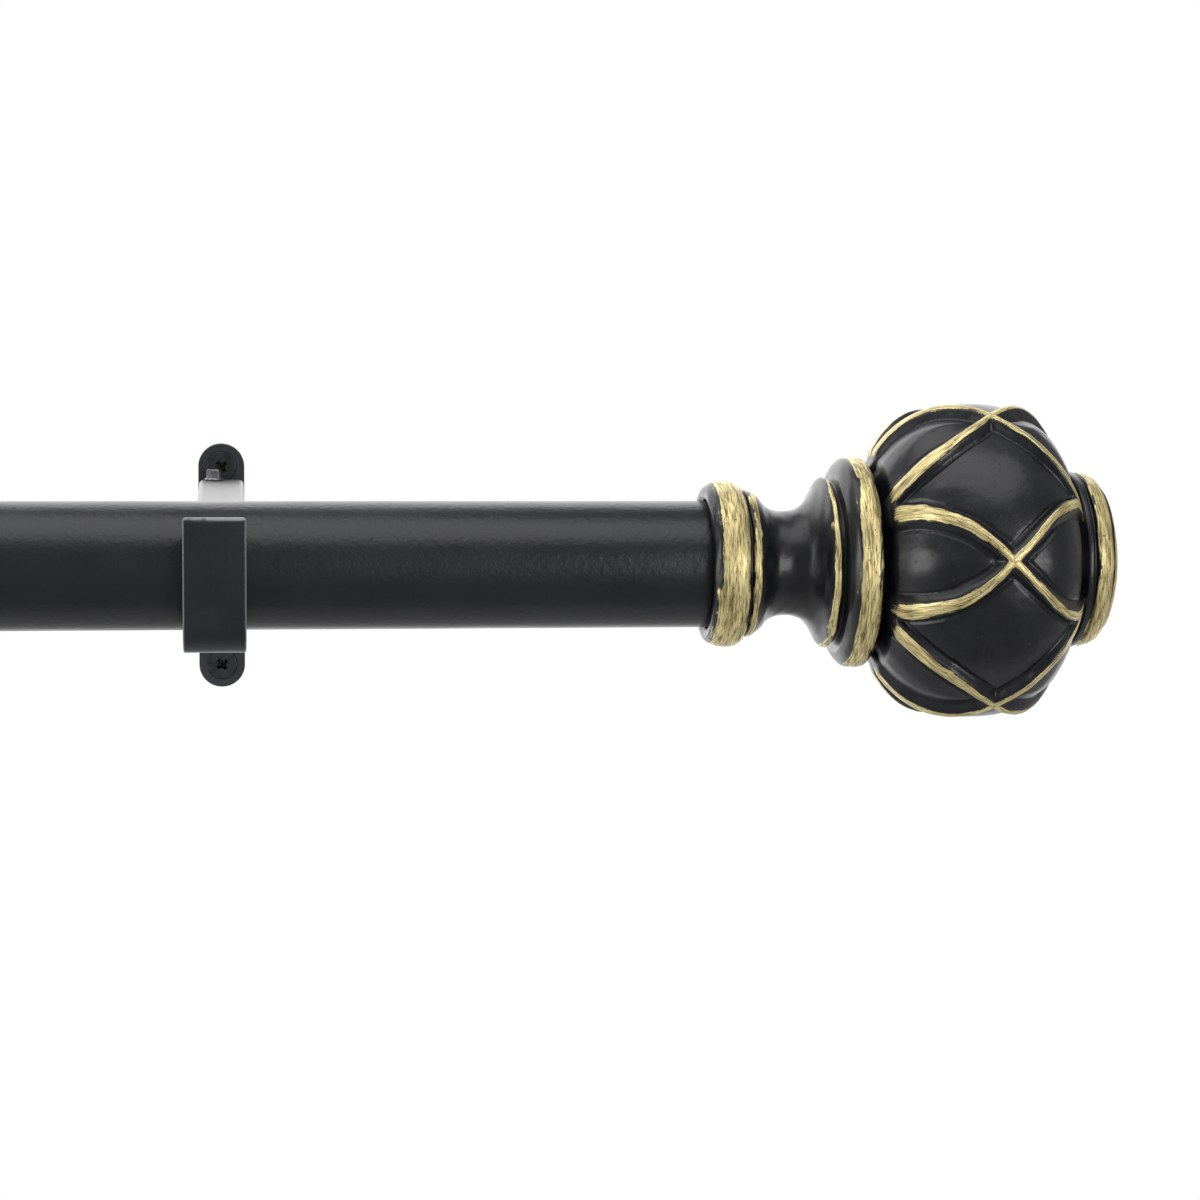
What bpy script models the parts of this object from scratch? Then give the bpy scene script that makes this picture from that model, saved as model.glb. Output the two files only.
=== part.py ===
"""Telescoping curtain rod with two finials, lying in two adjustable wall brackets.

Metres, +Z up. X runs along the rod, +X towards its right-hand end, and +Y points into the wall.
The origin is the middle of the right-hand wall plate's back face, which lies on the wall.
"""

import bmesh
import bpy
from math import cos, radians, sin

MM = 0.001

# ---- the rod ---------------------------------------------------------------------------------
ROD_RADIUS = 12.7 * MM  # one inch steel tube
TUBE_WALL = 0.8 * MM
INNER_TUBE_RADIUS = 11.0 * MM
ROD_LENGTH = 711 * MM  # between the finials' faces, pushed together
EXTENSION = 508 * MM  # how far the inner tube pulls out
TUBE_OVERLAP = 130 * MM  # of the two tubes, pulled out all the way
MOUTH_GAP = 4 * MM  # between the outer tube's mouth and the left finial

# ---- the finials -----------------------------------------------------------------------------
CUP_DEPTH = 8.0 * MM  # how deep the rod sits in the collar
COLLAR_WALL = 3.8 * MM
COLLAR_LENGTH = 8.0 * MM
BEAD_STEP = 2.2 * MM  # the second ring is this much smaller than the collar
BEAD_END = 11.2 * MM
NECK_RADIUS = 10.4 * MM
NECK_MIDDLE = 16.6 * MM  # along the axis from the collar's face, as are the places below
NECK_END = 25.0 * MM
SHOULDER_RADIUS = 17.2 * MM
FLANGE_START = 26.4 * MM
FLANGE_END = 33.2 * MM
FLANGE_RADIUS = 21.3 * MM
BALL_MIDDLE = 54.5 * MM
BALL_RADIUS = 33.65 * MM
BALL_REACH_IN = 24.5 * MM  # from the ball's middle back to its waist
BALL_REACH_OUT = 22.5 * MM  # and forward
BALL_POWER_IN = 2.3  # the outline is a little squarer than an ellipse
BALL_POWER_OUT = 2.5
TIP_DISC_START = 75.4 * MM
TIP_DISC_RADIUS = 18.0 * MM
TIP_DISC_LENGTH = 3.6 * MM
FINIAL_LENGTH = 85.0 * MM

SPIGOT_LENGTH = 22 * MM  # the nylon plug that pushes into the tube
SPIGOT_SCREW_RADIUS = 2.0 * MM
SPIGOT_SCREW_LENGTH = 38 * MM
SPIGOT_HEAD_RADIUS = 4.2 * MM
SPIGOT_HEAD_HEIGHT = 2.6 * MM

# ---- small plastic pieces in the tubes -------------------------------------------------------
BUSH_FLANGE = 3.0 * MM
BUSH_PLUG = 9.0 * MM
BUSH_WALL = 2.0 * MM
SLEEVE_LIP = 1.6 * MM
SLEEVE_LENGTH = 14 * MM
REDUCER_SHOWING = 2.0 * MM
SLIP = 0.2 * MM  # running clearance between the plastic and the tubes

# ---- the brackets ----------------------------------------------------------------------------
BRACKET_INSET = 96.15 * MM  # from a finial's face to the middle of the nearest wall plate
PROJECTION = 95.0 * MM  # wall to rod axis, pushed in
PLATE_WIDTH = 10.4 * MM
PLATE_HEIGHT = 56.0 * MM
PLATE_THICKNESS = 2.5 * MM
AXIS_ABOVE_PLATE = 11.2 * MM  # the rod's axis above the wall plate's middle
ARM_WIDTH = 10.0 * MM
ARM_HEIGHT = 8.0 * MM
ARM_WALL = 1.0 * MM
ARM_TOP = 8.75 * MM  # above the rod's axis
ARM_TO_PLATE = 1.5 * MM
POST_LENGTH = 46 * MM
CRADLE_WIDTH = 12.2 * MM
CRADLE_OFFSET = -1.15 * MM  # the cradle's middle from the arm's, which puts their right edges in line
CRADLE_STRIP = 2.5 * MM
CRADLE_BEND = 3.2 * MM
CRADLE_LIP = 10.9 * MM  # the front lip's top above the rod's axis
LOCK_OFFSET = -1.65 * MM
LOCK_FLANGE_RADIUS = 2.1 * MM
LOCK_FLANGE_HEIGHT = 0.7 * MM
LOCK_HEX_RADIUS = 1.75 * MM
LOCK_HEAD_HEIGHT = 2.6 * MM
LOCK_SHANK_RADIUS = 1.2 * MM
WALL_SCREW_RADIUS = 1.75 * MM
WALL_SCREW_HEAD = 3.3 * MM
WALL_SCREW_LENGTH = 30 * MM
RECESS_WIDTH = 0.9 * MM
RECESS_SPAN = 3.6 * MM
RECESS_DEPTH = 1.2 * MM

# ---- fits and fineness -----------------------------------------------------------------------
GAP = 0.3 * MM  # between pieces that touch
EDGE = 0.35 * MM  # the small round on pressed edges
TUBE_SIDES = 48
FINIAL_SIDES = 32
SCREW_SIDES = 16
ARC_STEPS = 6
BALL_STEPS = 14  # along the ball's outline
CUT_MARGIN = 1.0 * MM
MERGE = 0.00001

# ---- places that follow from the sizes -------------------------------------------------------
AXIS_Y = -PROJECTION
AXIS_Z = AXIS_ABOVE_PLATE
RIGHT_FACE_X = BRACKET_INSET
LEFT_FACE_X = RIGHT_FACE_X - ROD_LENGTH
BRACKETS = {"right": 0.0, "left": LEFT_FACE_X + BRACKET_INSET}
CUP_RADIUS = ROD_RADIUS + GAP
COLLAR_RADIUS = CUP_RADIUS + COLLAR_WALL
BEAD_RADIUS = COLLAR_RADIUS - BEAD_STEP
BORE_RADIUS = ROD_RADIUS - TUBE_WALL
INNER_BORE_RADIUS = INNER_TUBE_RADIUS - TUBE_WALL
TUBE_SEAT = CUP_DEPTH - GAP
ARM_REAR_Y = -PLATE_THICKNESS - ARM_TO_PLATE
CRADLE_INNER = ROD_RADIUS + GAP
CRADLE_BACK_Y = AXIS_Y + CRADLE_INNER + CRADLE_STRIP
SCREW_SPACING = PLATE_HEIGHT - PLATE_WIDTH
SCREW_HOLE_RADIUS = WALL_SCREW_RADIUS + GAP

STEEL = ("black_steel", (0.022, 0.023, 0.026), 0.38, 0.0)
RESIN = ("painted_resin", (0.018, 0.019, 0.021), 0.32, 0.0)
NYLON = ("black_nylon", (0.03, 0.03, 0.03), 0.55, 0.0)
ZINC = ("zinc_screw", (0.55, 0.55, 0.56), 0.32, 1.0)
BLACK_SCREW = ("black_screw", (0.02, 0.02, 0.022), 0.35, 1.0)


def clear_scene():
    for obj in list(bpy.data.objects):
        bpy.data.objects.remove(obj, do_unlink=True)


def new_collection(name):
    collection = bpy.data.collections.new(name)
    bpy.context.scene.collection.children.link(collection)
    return collection


def material(look):
    """The Principled material of one finish, made once."""
    name, colour, roughness, metallic = look
    found = bpy.data.materials.get(name)
    if found:
        return found
    made = bpy.data.materials.new(name)
    made.use_nodes = True
    shader = made.node_tree.nodes["Principled BSDF"]
    shader.inputs["Base Color"].default_value = (*colour, 1.0)
    shader.inputs["Roughness"].default_value = roughness
    shader.inputs["Metallic"].default_value = metallic
    return made


def add_object(name, mesh, look, place=(0, 0, 0), turn=(0, 0, 0)):
    """A part in the parts collection, or a cutter where look is None."""
    obj = bpy.data.objects.new(name, mesh)
    obj.location = place
    obj.rotation_euler = turn
    if look is None:
        CUTTERS.objects.link(obj)
        obj.hide_render = True
        obj.display_type = "WIRE"
    else:
        PARTS.objects.link(obj)
        if not mesh.materials:
            mesh.materials.append(material(look))
    return obj


def smooth(mesh, angle=radians(35)):
    mesh.shade_smooth()
    mesh.set_sharp_from_angle(angle=angle)


def finished_mesh(obj):
    """The object's mesh with its modifiers applied."""
    bpy.context.view_layer.update()
    depsgraph = bpy.context.evaluated_depsgraph_get()
    mesh = bpy.data.meshes.new_from_object(obj.evaluated_get(depsgraph))
    mesh.name = obj.name
    return mesh


# ---- shape makers ----------------------------------------------------------------------------
def turned_mesh(name, profile, sides, closed):
    """Profile points (radius, height), down the outer side, turned about Z by a Screw modifier."""
    mesh = bpy.data.meshes.new(name + "_profile")
    points = [(radius, 0, height) for radius, height in profile]
    edges = [(i, i + 1) for i in range(len(points) - 1)]
    if closed:
        edges.append((len(points) - 1, 0))
    mesh.from_pydata(points, edges, [])
    maker = bpy.data.objects.new(name + "_turning", mesh)
    CUTTERS.objects.link(maker)
    screw = maker.modifiers.new("Turn", "SCREW")
    screw.steps = sides
    screw.render_steps = sides
    screw.use_merge_vertices = True
    screw.merge_threshold = MERGE
    screw.use_smooth_shade = True
    made = finished_mesh(maker)
    bpy.data.objects.remove(maker, do_unlink=True)
    smooth(made)
    return made


def turned(name, profile, look, place, turn=(0, 0, 0), sides=TUBE_SIDES, closed=False):
    return add_object(name, turned_mesh(name, profile, sides, closed), look, place, turn)


def box_mesh(name, size):
    """A box about the origin."""
    mesh = bpy.data.meshes.new(name)
    shape = bmesh.new()
    bmesh.ops.create_cube(shape, size=1.0)
    bmesh.ops.scale(shape, vec=size, verts=shape.verts)
    shape.to_mesh(mesh)
    shape.free()
    return mesh


def cut(obj, cutter, operation="DIFFERENCE"):
    modifier = obj.modifiers.new("Cut " + cutter.name, "BOOLEAN")
    modifier.object = cutter
    modifier.operation = operation
    modifier.solver = "EXACT"


def bevel(obj, width, segments=2):
    modifier = obj.modifiers.new("Edges", "BEVEL")
    modifier.width = width
    modifier.segments = segments
    modifier.limit_method = "ANGLE"
    modifier.angle_limit = radians(40)


def arc(middle, radius, start, end, steps=ARC_STEPS):
    """Points on an arc of (radius, height) pairs, angles in degrees from the radius direction."""
    turn = [radians(start + (end - start) * i / steps) for i in range(steps + 1)]
    return [(middle[0] + radius * cos(a), middle[1] + radius * sin(a)) for a in turn]


# ---- rod -------------------------------------------------------------------------------------
def tube_profile(radius, bore, length):
    return [(radius, length), (radius, 0), (bore, 0), (bore, length)]


ALONG_X = (0, radians(90), 0)  # turns local +Z to +X
AGAINST_X = (0, radians(-90), 0)


def on_axis(x):
    return (x, AXIS_Y, AXIS_Z)


def build_rod():
    right_end = RIGHT_FACE_X + TUBE_SEAT
    mouth = LEFT_FACE_X + MOUTH_GAP + SLEEVE_LIP + GAP
    outer = tube_profile(ROD_RADIUS, BORE_RADIUS, right_end - mouth)
    turned("outer_tube", outer, STEEL, on_axis(mouth), ALONG_X, closed=True)

    left_end = LEFT_FACE_X - TUBE_SEAT
    inner_length = EXTENSION + TUBE_OVERLAP + MOUTH_GAP + TUBE_SEAT
    inner = tube_profile(INNER_TUBE_RADIUS, INNER_BORE_RADIUS, inner_length)
    turned("inner_tube", inner, STEEL, on_axis(left_end), ALONG_X, closed=True)

    # nylon ring in the outer tube's mouth, which keeps the inner tube central
    sleeve_out = BORE_RADIUS - SLIP
    sleeve_in = INNER_TUBE_RADIUS + SLIP
    sleeve = [
        (sleeve_out, SLEEVE_LENGTH + SLEEVE_LIP),
        (sleeve_out, SLEEVE_LIP),
        (ROD_RADIUS, SLEEVE_LIP),
        (ROD_RADIUS, 0),
        (sleeve_in, 0),
        (sleeve_in, SLEEVE_LENGTH + SLEEVE_LIP),
    ]
    turned("mouth_sleeve", sleeve, NYLON, on_axis(mouth - GAP - SLEEVE_LIP), ALONG_X, closed=True)

    # nylon bush pressed in the inner tube's hidden end, which runs in the outer tube
    plug = INNER_BORE_RADIUS - SLIP
    bush_bore = plug - BUSH_WALL
    bush = [
        (BORE_RADIUS - SLIP, BUSH_FLANGE),
        (BORE_RADIUS - SLIP, 0),
        (plug, 0),
        (plug, -BUSH_PLUG),
        (bush_bore, -BUSH_PLUG),
        (bush_bore, BUSH_FLANGE),
    ]
    turned("guide_bush", bush, NYLON, on_axis(left_end + inner_length + GAP), ALONG_X, closed=True)

    # ring that fills the left finial's collar around the thinner inner tube
    reducer = tube_profile(ROD_RADIUS, INNER_TUBE_RADIUS + SLIP, TUBE_SEAT + REDUCER_SHOWING)
    turned("reducer_ring", reducer, NYLON, on_axis(left_end), ALONG_X, closed=True)


# ---- finials ---------------------------------------------------------------------------------
def ball_radius(place):
    """Radius of the ball's ribs at a distance along the finial."""
    off = place - BALL_MIDDLE
    reach = BALL_REACH_OUT if off > 0 else BALL_REACH_IN
    power = BALL_POWER_OUT if off > 0 else BALL_POWER_IN
    share = min(abs(off) / reach, 1.0)
    return BALL_RADIUS * (1 - share**power) ** (1 / power)


def finial_profile():
    """(radius, distance from the collar's face), from the tip down to the pilot hole's bottom."""
    pilot = SPIGOT_SCREW_RADIUS + GAP
    pilot_end = CUP_DEPTH + SPIGOT_SCREW_LENGTH - SPIGOT_LENGTH + GAP + SPIGOT_HEAD_HEIGHT
    disc_end = TIP_DISC_START + TIP_DISC_LENGTH
    turns = [radians(90 * i / ARC_STEPS) for i in range(ARC_STEPS, -1, -1)]
    dome = [(TIP_DISC_RADIUS * cos(a), disc_end + (FINIAL_LENGTH - disc_end) * sin(a)) for a in turns]
    dome[0] = (0, FINIAL_LENGTH)
    span = TIP_DISC_START - FLANGE_END
    places = [TIP_DISC_START - span * i / BALL_STEPS for i in range(BALL_STEPS + 1)]
    ball = [(ball_radius(place), place) for place in places]
    shoulder = arc((SHOULDER_RADIUS, NECK_MIDDLE), SHOULDER_RADIUS - NECK_RADIUS, 90, 180)
    bead_drop = BEAD_RADIUS - NECK_RADIUS
    waist = arc((BEAD_RADIUS, NECK_MIDDLE), bead_drop, 180, 270)
    scale_up = (NECK_END - NECK_MIDDLE) / (SHOULDER_RADIUS - NECK_RADIUS)
    scale_down = (NECK_MIDDLE - BEAD_END) / bead_drop
    shoulder = [(r, NECK_MIDDLE + (t - NECK_MIDDLE) * scale_up) for r, t in shoulder]
    waist = [(r, NECK_MIDDLE + (t - NECK_MIDDLE) * scale_down) for r, t in waist]
    half_flange = (FLANGE_END - FLANGE_START) / 2
    flange_middle = FLANGE_START + half_flange
    flange = [
        (FLANGE_RADIUS - EDGE, FLANGE_END),
        (FLANGE_RADIUS, flange_middle + half_flange / 2),
        (FLANGE_RADIUS, flange_middle - half_flange / 2),
        (FLANGE_RADIUS - 2 * EDGE, FLANGE_START),
    ]
    collar = [
        (BEAD_RADIUS, COLLAR_LENGTH + EDGE),
        (COLLAR_RADIUS - 2 * EDGE, COLLAR_LENGTH - EDGE),
        (COLLAR_RADIUS, COLLAR_LENGTH / 2),
        (COLLAR_RADIUS - EDGE, COLLAR_LENGTH / 5),
        (COLLAR_RADIUS - COLLAR_WALL / 2, 0),
    ]
    inside = [(CUP_RADIUS, 0), (CUP_RADIUS, CUP_DEPTH), (pilot, CUP_DEPTH), (pilot, pilot_end), (0, pilot_end)]
    return [*dome, (TIP_DISC_RADIUS, TIP_DISC_START), *ball, *flange, *shoulder, *waist[1:], *collar, *inside]


def build_finial(side, face_x, tube_bore, turn):
    """The cast finial, its nylon spigot and the screw that holds the spigot on."""
    away = 1 if side == "right" else -1
    turned(side + "_finial", finial_profile(), RESIN, on_axis(face_x), turn, FINIAL_SIDES)

    spigot_radius = tube_bore - SLIP
    hole = SPIGOT_SCREW_RADIUS + GAP
    head_hole = SPIGOT_HEAD_RADIUS + GAP
    head_seat = SPIGOT_HEAD_HEIGHT + GAP
    spigot = [
        (spigot_radius, SPIGOT_LENGTH),
        (spigot_radius, EDGE),
        (spigot_radius - EDGE, 0),
        (head_hole, 0),
        (head_hole, head_seat),
        (hole, head_seat),
        (hole, SPIGOT_LENGTH),
    ]
    spigot_start = CUP_DEPTH - GAP - SPIGOT_LENGTH
    turned(side + "_spigot", spigot, NYLON, on_axis(face_x + away * spigot_start), turn, closed=True)

    screw = [
        (0, SPIGOT_SCREW_LENGTH + SPIGOT_HEAD_HEIGHT),
        (SPIGOT_SCREW_RADIUS, SPIGOT_SCREW_LENGTH),
        (SPIGOT_SCREW_RADIUS, SPIGOT_HEAD_HEIGHT),
        (SPIGOT_HEAD_RADIUS, SPIGOT_HEAD_HEIGHT),
        (SPIGOT_HEAD_RADIUS, EDGE),
        (SPIGOT_HEAD_RADIUS - EDGE, 0),
        (0, 0),
    ]
    turned(side + "_spigot_screw", screw, ZINC, on_axis(face_x + away * spigot_start), turn, SCREW_SIDES)


# ---- brackets --------------------------------------------------------------------------------
def plate_mesh():
    """The long oval wall plate with two countersunk holes, its back face on the wall."""
    radius = PLATE_WIDTH / 2
    half = SCREW_SPACING / 2
    ends = arc((0, half), radius, 0, 180, 2 * ARC_STEPS) + arc((0, -half), radius, 180, 360, 2 * ARC_STEPS)
    outline = bpy.data.curves.new("plate_outline", "CURVE")
    outline.dimensions = "2D"
    outline.fill_mode = "BOTH"
    outline.extrude = PLATE_THICKNESS / 2
    spline = outline.splines.new("POLY")
    spline.points.add(len(ends) - 1)
    for point, (across, up) in zip(spline.points, ends):
        point.co = (across, up, 0, 1)
    spline.use_cyclic_u = True
    maker = bpy.data.objects.new("plate_outline", outline)
    CUTTERS.objects.link(maker)
    mesh = finished_mesh(maker)
    bpy.data.objects.remove(maker, do_unlink=True)
    shape = bmesh.new()
    shape.from_mesh(mesh)
    bmesh.ops.remove_doubles(shape, verts=shape.verts, dist=MERGE)
    bmesh.ops.recalc_face_normals(shape, faces=shape.faces)
    shape.to_mesh(mesh)
    shape.free()
    plate = add_object("plate_blank", mesh, None)
    hole = [
        (WALL_SCREW_HEAD + GAP + CUT_MARGIN, PLATE_THICKNESS / 2 + CUT_MARGIN),
        (SCREW_HOLE_RADIUS, PLATE_THICKNESS / 2 - (WALL_SCREW_HEAD - WALL_SCREW_RADIUS)),
        (SCREW_HOLE_RADIUS, -PLATE_THICKNESS / 2 - CUT_MARGIN),
    ]
    hole = [(0, hole[0][1]), *hole, (0, hole[-1][1])]
    for up in (half, -half):
        cutter = add_object("plate_hole", turned_mesh("plate_hole", hole, SCREW_SIDES, False), None, (0, up, 0))
        cut(plate, cutter)
    bevel(plate, EDGE)
    made = finished_mesh(plate)
    bpy.data.objects.remove(plate, do_unlink=True)
    smooth(made)
    made.materials.clear()
    return made


def wall_screw_mesh():
    """A countersunk cross-head screw along local Z, its head's face at the origin."""
    cone = WALL_SCREW_HEAD - WALL_SCREW_RADIUS
    profile = [
        (0, 0),
        (WALL_SCREW_HEAD, 0),
        (WALL_SCREW_RADIUS, -cone),
        (WALL_SCREW_RADIUS, -WALL_SCREW_LENGTH + 2 * cone),
        (0, -WALL_SCREW_LENGTH),
    ]
    screw = add_object("screw_blank", turned_mesh("wall_screw", profile, SCREW_SIDES, False), None)
    size = (RECESS_SPAN, RECESS_WIDTH, 2 * RECESS_DEPTH)
    for turn in (0, 90):
        cut(screw, add_object("cross_recess", box_mesh("recess", size), None, turn=(0, 0, radians(turn + 45))))
    made = finished_mesh(screw)
    bpy.data.objects.remove(screw, do_unlink=True)
    made.materials.clear()
    return made


def lock_screw_mesh():
    """The flanged hexagon screw that clamps the arm, along local Z, its flange's seat at the origin."""
    reach = ARM_WALL + GAP
    profile = [
        (0, LOCK_FLANGE_HEIGHT),
        (LOCK_FLANGE_RADIUS * 0.8, LOCK_FLANGE_HEIGHT),
        (LOCK_FLANGE_RADIUS, LOCK_FLANGE_HEIGHT / 3),
        (LOCK_FLANGE_RADIUS, 0),
        (LOCK_SHANK_RADIUS, 0),
        (LOCK_SHANK_RADIUS, -reach),
        (0, -reach),
    ]
    screw = add_object("lock_blank", turned_mesh("lock_screw", profile, SCREW_SIDES, False), None)
    hexagon = bpy.data.meshes.new("hexagon")
    shape = bmesh.new()
    depth = LOCK_HEAD_HEIGHT - LOCK_FLANGE_HEIGHT / 2
    bmesh.ops.create_cone(
        shape, cap_ends=True, segments=6, radius1=LOCK_HEX_RADIUS, radius2=LOCK_HEX_RADIUS * 0.94, depth=depth
    )
    bmesh.ops.translate(shape, vec=(0, 0, LOCK_HEAD_HEIGHT - depth / 2), verts=shape.verts)
    shape.to_mesh(hexagon)
    shape.free()
    cut(screw, add_object("hexagon", hexagon, None), "UNION")
    made = finished_mesh(screw)
    bpy.data.objects.remove(screw, do_unlink=True)
    made.materials.clear()
    return made


def cradle_mesh():
    """The bent strip that the rod lies in: up behind the rod, under it and up in front to the lip."""
    corner = CRADLE_INNER - CRADLE_BEND
    behind = [(CRADLE_INNER, ARM_TOP)] + arc((corner, -corner), CRADLE_BEND, 0, -90)
    in_front = arc((-corner, -corner), CRADLE_BEND, -90, -180) + [(-CRADLE_INNER, CRADLE_LIP)]
    mesh = bpy.data.meshes.new("cradle")
    shape = bmesh.new()
    rows = []
    for depth, height in behind + in_front:
        row = [shape.verts.new((side * CRADLE_WIDTH / 2, depth, height)) for side in (-1, 1)]
        rows.append(row)
    for low, high in zip(rows, rows[1:]):
        shape.faces.new((low[0], low[1], high[1], high[0]))
    bmesh.ops.recalc_face_normals(shape, faces=shape.faces)
    shape.to_mesh(mesh)
    shape.free()
    strip = add_object("cradle_blank", mesh, None)
    wall = strip.modifiers.new("Strip", "SOLIDIFY")
    wall.thickness = CRADLE_STRIP
    wall.offset = outward_side(mesh)
    wall.use_even_offset = True
    bevel(strip, EDGE)
    made = finished_mesh(strip)
    bpy.data.objects.remove(strip, do_unlink=True)
    smooth(made)
    made.materials.clear()
    return made


def outward_side(mesh):
    """Solidify's offset that puts the thickness on the side away from the rod."""
    lowest = min(mesh.polygons, key=lambda face: face.center.z)
    return 1 if lowest.normal.z < 0 else -1


def arm_mesh():
    """A square tube with a hole for the lock screw through its top wall near the rear end."""
    length = ARM_REAR_Y - (CRADLE_BACK_Y + GAP)
    arm = add_object("arm_blank", box_mesh("arm", (ARM_WIDTH, length, ARM_HEIGHT)), None)
    bevel(arm, 2 * EDGE)
    inside = (ARM_WIDTH - 2 * ARM_WALL, length + 2 * CUT_MARGIN, ARM_HEIGHT - 2 * ARM_WALL)
    cut(arm, add_object("arm_inside", box_mesh("arm_inside", inside), None))
    hole = [(0, ARM_HEIGHT), (LOCK_SHANK_RADIUS + GAP, ARM_HEIGHT), (LOCK_SHANK_RADIUS + GAP, 0), (0, 0)]
    place = (LOCK_OFFSET, length / 2 - LOCK_FLANGE_RADIUS - GAP, 0)
    cut(arm, add_object("lock_hole", turned_mesh("lock_hole", hole, SCREW_SIDES, False), None, place))
    made = finished_mesh(arm)
    bpy.data.objects.remove(arm, do_unlink=True)
    made.materials.clear()
    return made


def build_bracket(side, x, meshes):
    """One bracket: plate, post, arm, cradle, lock screw and two wall screws."""
    front = -PLATE_THICKNESS
    arm_z = AXIS_Z + ARM_TOP - ARM_HEIGHT / 2
    facing = (radians(90), 0, 0)  # turns local +Z to -Y, away from the wall
    add_object(side + "_wall_plate", meshes["plate"], STEEL, (x, front / 2, 0), facing)

    post_size = (ARM_WIDTH - 2 * ARM_WALL - 2 * GAP, POST_LENGTH, ARM_HEIGHT - 2 * ARM_WALL - 2 * GAP)
    post = add_object(side + "_post", box_mesh("post", post_size), STEEL, (x, front - GAP - POST_LENGTH / 2, arm_z))
    bevel(post, EDGE)

    arm_length = ARM_REAR_Y - (CRADLE_BACK_Y + GAP)
    add_object(side + "_arm", meshes["arm"], STEEL, (x, ARM_REAR_Y - arm_length / 2, arm_z))
    add_object(side + "_cradle", meshes["cradle"], STEEL, (x + CRADLE_OFFSET, AXIS_Y, AXIS_Z))

    lock_y = ARM_REAR_Y - LOCK_FLANGE_RADIUS - GAP
    lock_z = AXIS_Z + ARM_TOP + GAP / 3
    add_object(side + "_lock_screw", meshes["lock"], ZINC, (x + LOCK_OFFSET, lock_y, lock_z))

    for name, up in (("upper", SCREW_SPACING / 2), ("lower", -SCREW_SPACING / 2)):
        node = f"{side}_{name}_wall_screw"
        add_object(node, meshes["wall_screw"], BLACK_SCREW, (x, front - GAP / 3, up), facing)


def main():
    build_rod()
    build_finial("right", RIGHT_FACE_X, BORE_RADIUS, ALONG_X)
    build_finial("left", LEFT_FACE_X, INNER_BORE_RADIUS, AGAINST_X)
    meshes = {
        "plate": plate_mesh(),
        "arm": arm_mesh(),
        "cradle": cradle_mesh(),
        "lock": lock_screw_mesh(),
        "wall_screw": wall_screw_mesh(),
    }
    for side, x in BRACKETS.items():
        build_bracket(side, x, meshes)


clear_scene()
PARTS = new_collection("curtain_rod_with_brackets")
CUTTERS = new_collection("cutters")
main()
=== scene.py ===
# %% [markdown]
# # A telescoping curtain rod with two finials and two wall brackets
# The rod is a powder-coated steel tube with a thinner tube sliding inside it. Each end carries a cast
# finial, black with gold rubbed over its raised edges, and the rod lies in two bent steel cradles that
# stand off the wall on square arms. The engineering model comes first and never moves: it says where
# every piece is, and each finer piece made here stands exactly where its plain one was.

# %% Load the frame
from math import cos, pi, radians, sin

import bmesh
import bpy
import numpy as np
from mathutils import Matrix, Vector


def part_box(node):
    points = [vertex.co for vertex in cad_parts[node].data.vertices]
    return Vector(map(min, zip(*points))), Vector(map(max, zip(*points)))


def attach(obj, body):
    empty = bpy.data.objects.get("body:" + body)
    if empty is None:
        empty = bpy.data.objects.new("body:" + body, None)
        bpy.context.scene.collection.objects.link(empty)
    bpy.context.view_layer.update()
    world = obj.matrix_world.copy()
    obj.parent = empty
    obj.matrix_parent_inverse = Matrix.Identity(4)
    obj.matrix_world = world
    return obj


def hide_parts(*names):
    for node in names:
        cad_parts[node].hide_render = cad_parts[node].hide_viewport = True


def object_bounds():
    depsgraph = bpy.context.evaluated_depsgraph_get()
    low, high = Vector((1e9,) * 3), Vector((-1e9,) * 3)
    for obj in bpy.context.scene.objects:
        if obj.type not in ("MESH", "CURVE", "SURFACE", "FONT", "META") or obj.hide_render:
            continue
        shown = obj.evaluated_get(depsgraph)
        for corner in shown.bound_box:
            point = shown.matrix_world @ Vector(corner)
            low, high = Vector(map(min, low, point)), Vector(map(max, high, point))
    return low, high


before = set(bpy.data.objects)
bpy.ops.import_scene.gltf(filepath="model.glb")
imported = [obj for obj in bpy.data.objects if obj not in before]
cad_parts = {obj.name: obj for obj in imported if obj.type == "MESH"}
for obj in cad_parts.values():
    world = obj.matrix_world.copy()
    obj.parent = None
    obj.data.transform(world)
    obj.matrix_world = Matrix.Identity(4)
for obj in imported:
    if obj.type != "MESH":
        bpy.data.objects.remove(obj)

CAD_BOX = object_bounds()
MM = 0.001
print("overall size in mm:", [round(side / MM, 1) for side in CAD_BOX[1] - CAD_BOX[0]])


# %% [markdown]
# Places come from the frame's own boxes. The rod's axis is the middle of the outer tube, and each
# finial starts at the face of its collar.

# %% Places that the frame gives
def box_middle(node):
    low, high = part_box(node)
    return (low + high) / 2


AXIS = box_middle("outer_tube")
RIGHT_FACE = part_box("right_finial")[0].x
LEFT_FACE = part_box("left_finial")[1].x
SIDES = {"right": (RIGHT_FACE, 1), "left": (LEFT_FACE, -1)}
print(f"axis at y {AXIS.y:.4f} z {AXIS.z:.4f}, finials start at {RIGHT_FACE:.4f} and {LEFT_FACE:.4f}")

# %% [markdown]
# A mesh is worked out in bmesh and then written out. Where modifiers or a node tree finish it, an
# object carries it for as long as they work, and only the mesh that they made is kept.


# %% Objects and meshes
def scene_object(name, data):
    made = bpy.data.objects.new(name, data)
    bpy.context.scene.collection.objects.link(made)
    return made


def written_out(shape, name):
    """A bmesh as a new mesh."""
    mesh = bpy.data.meshes.new(name)
    shape.to_mesh(mesh)
    shape.free()
    return mesh


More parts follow.
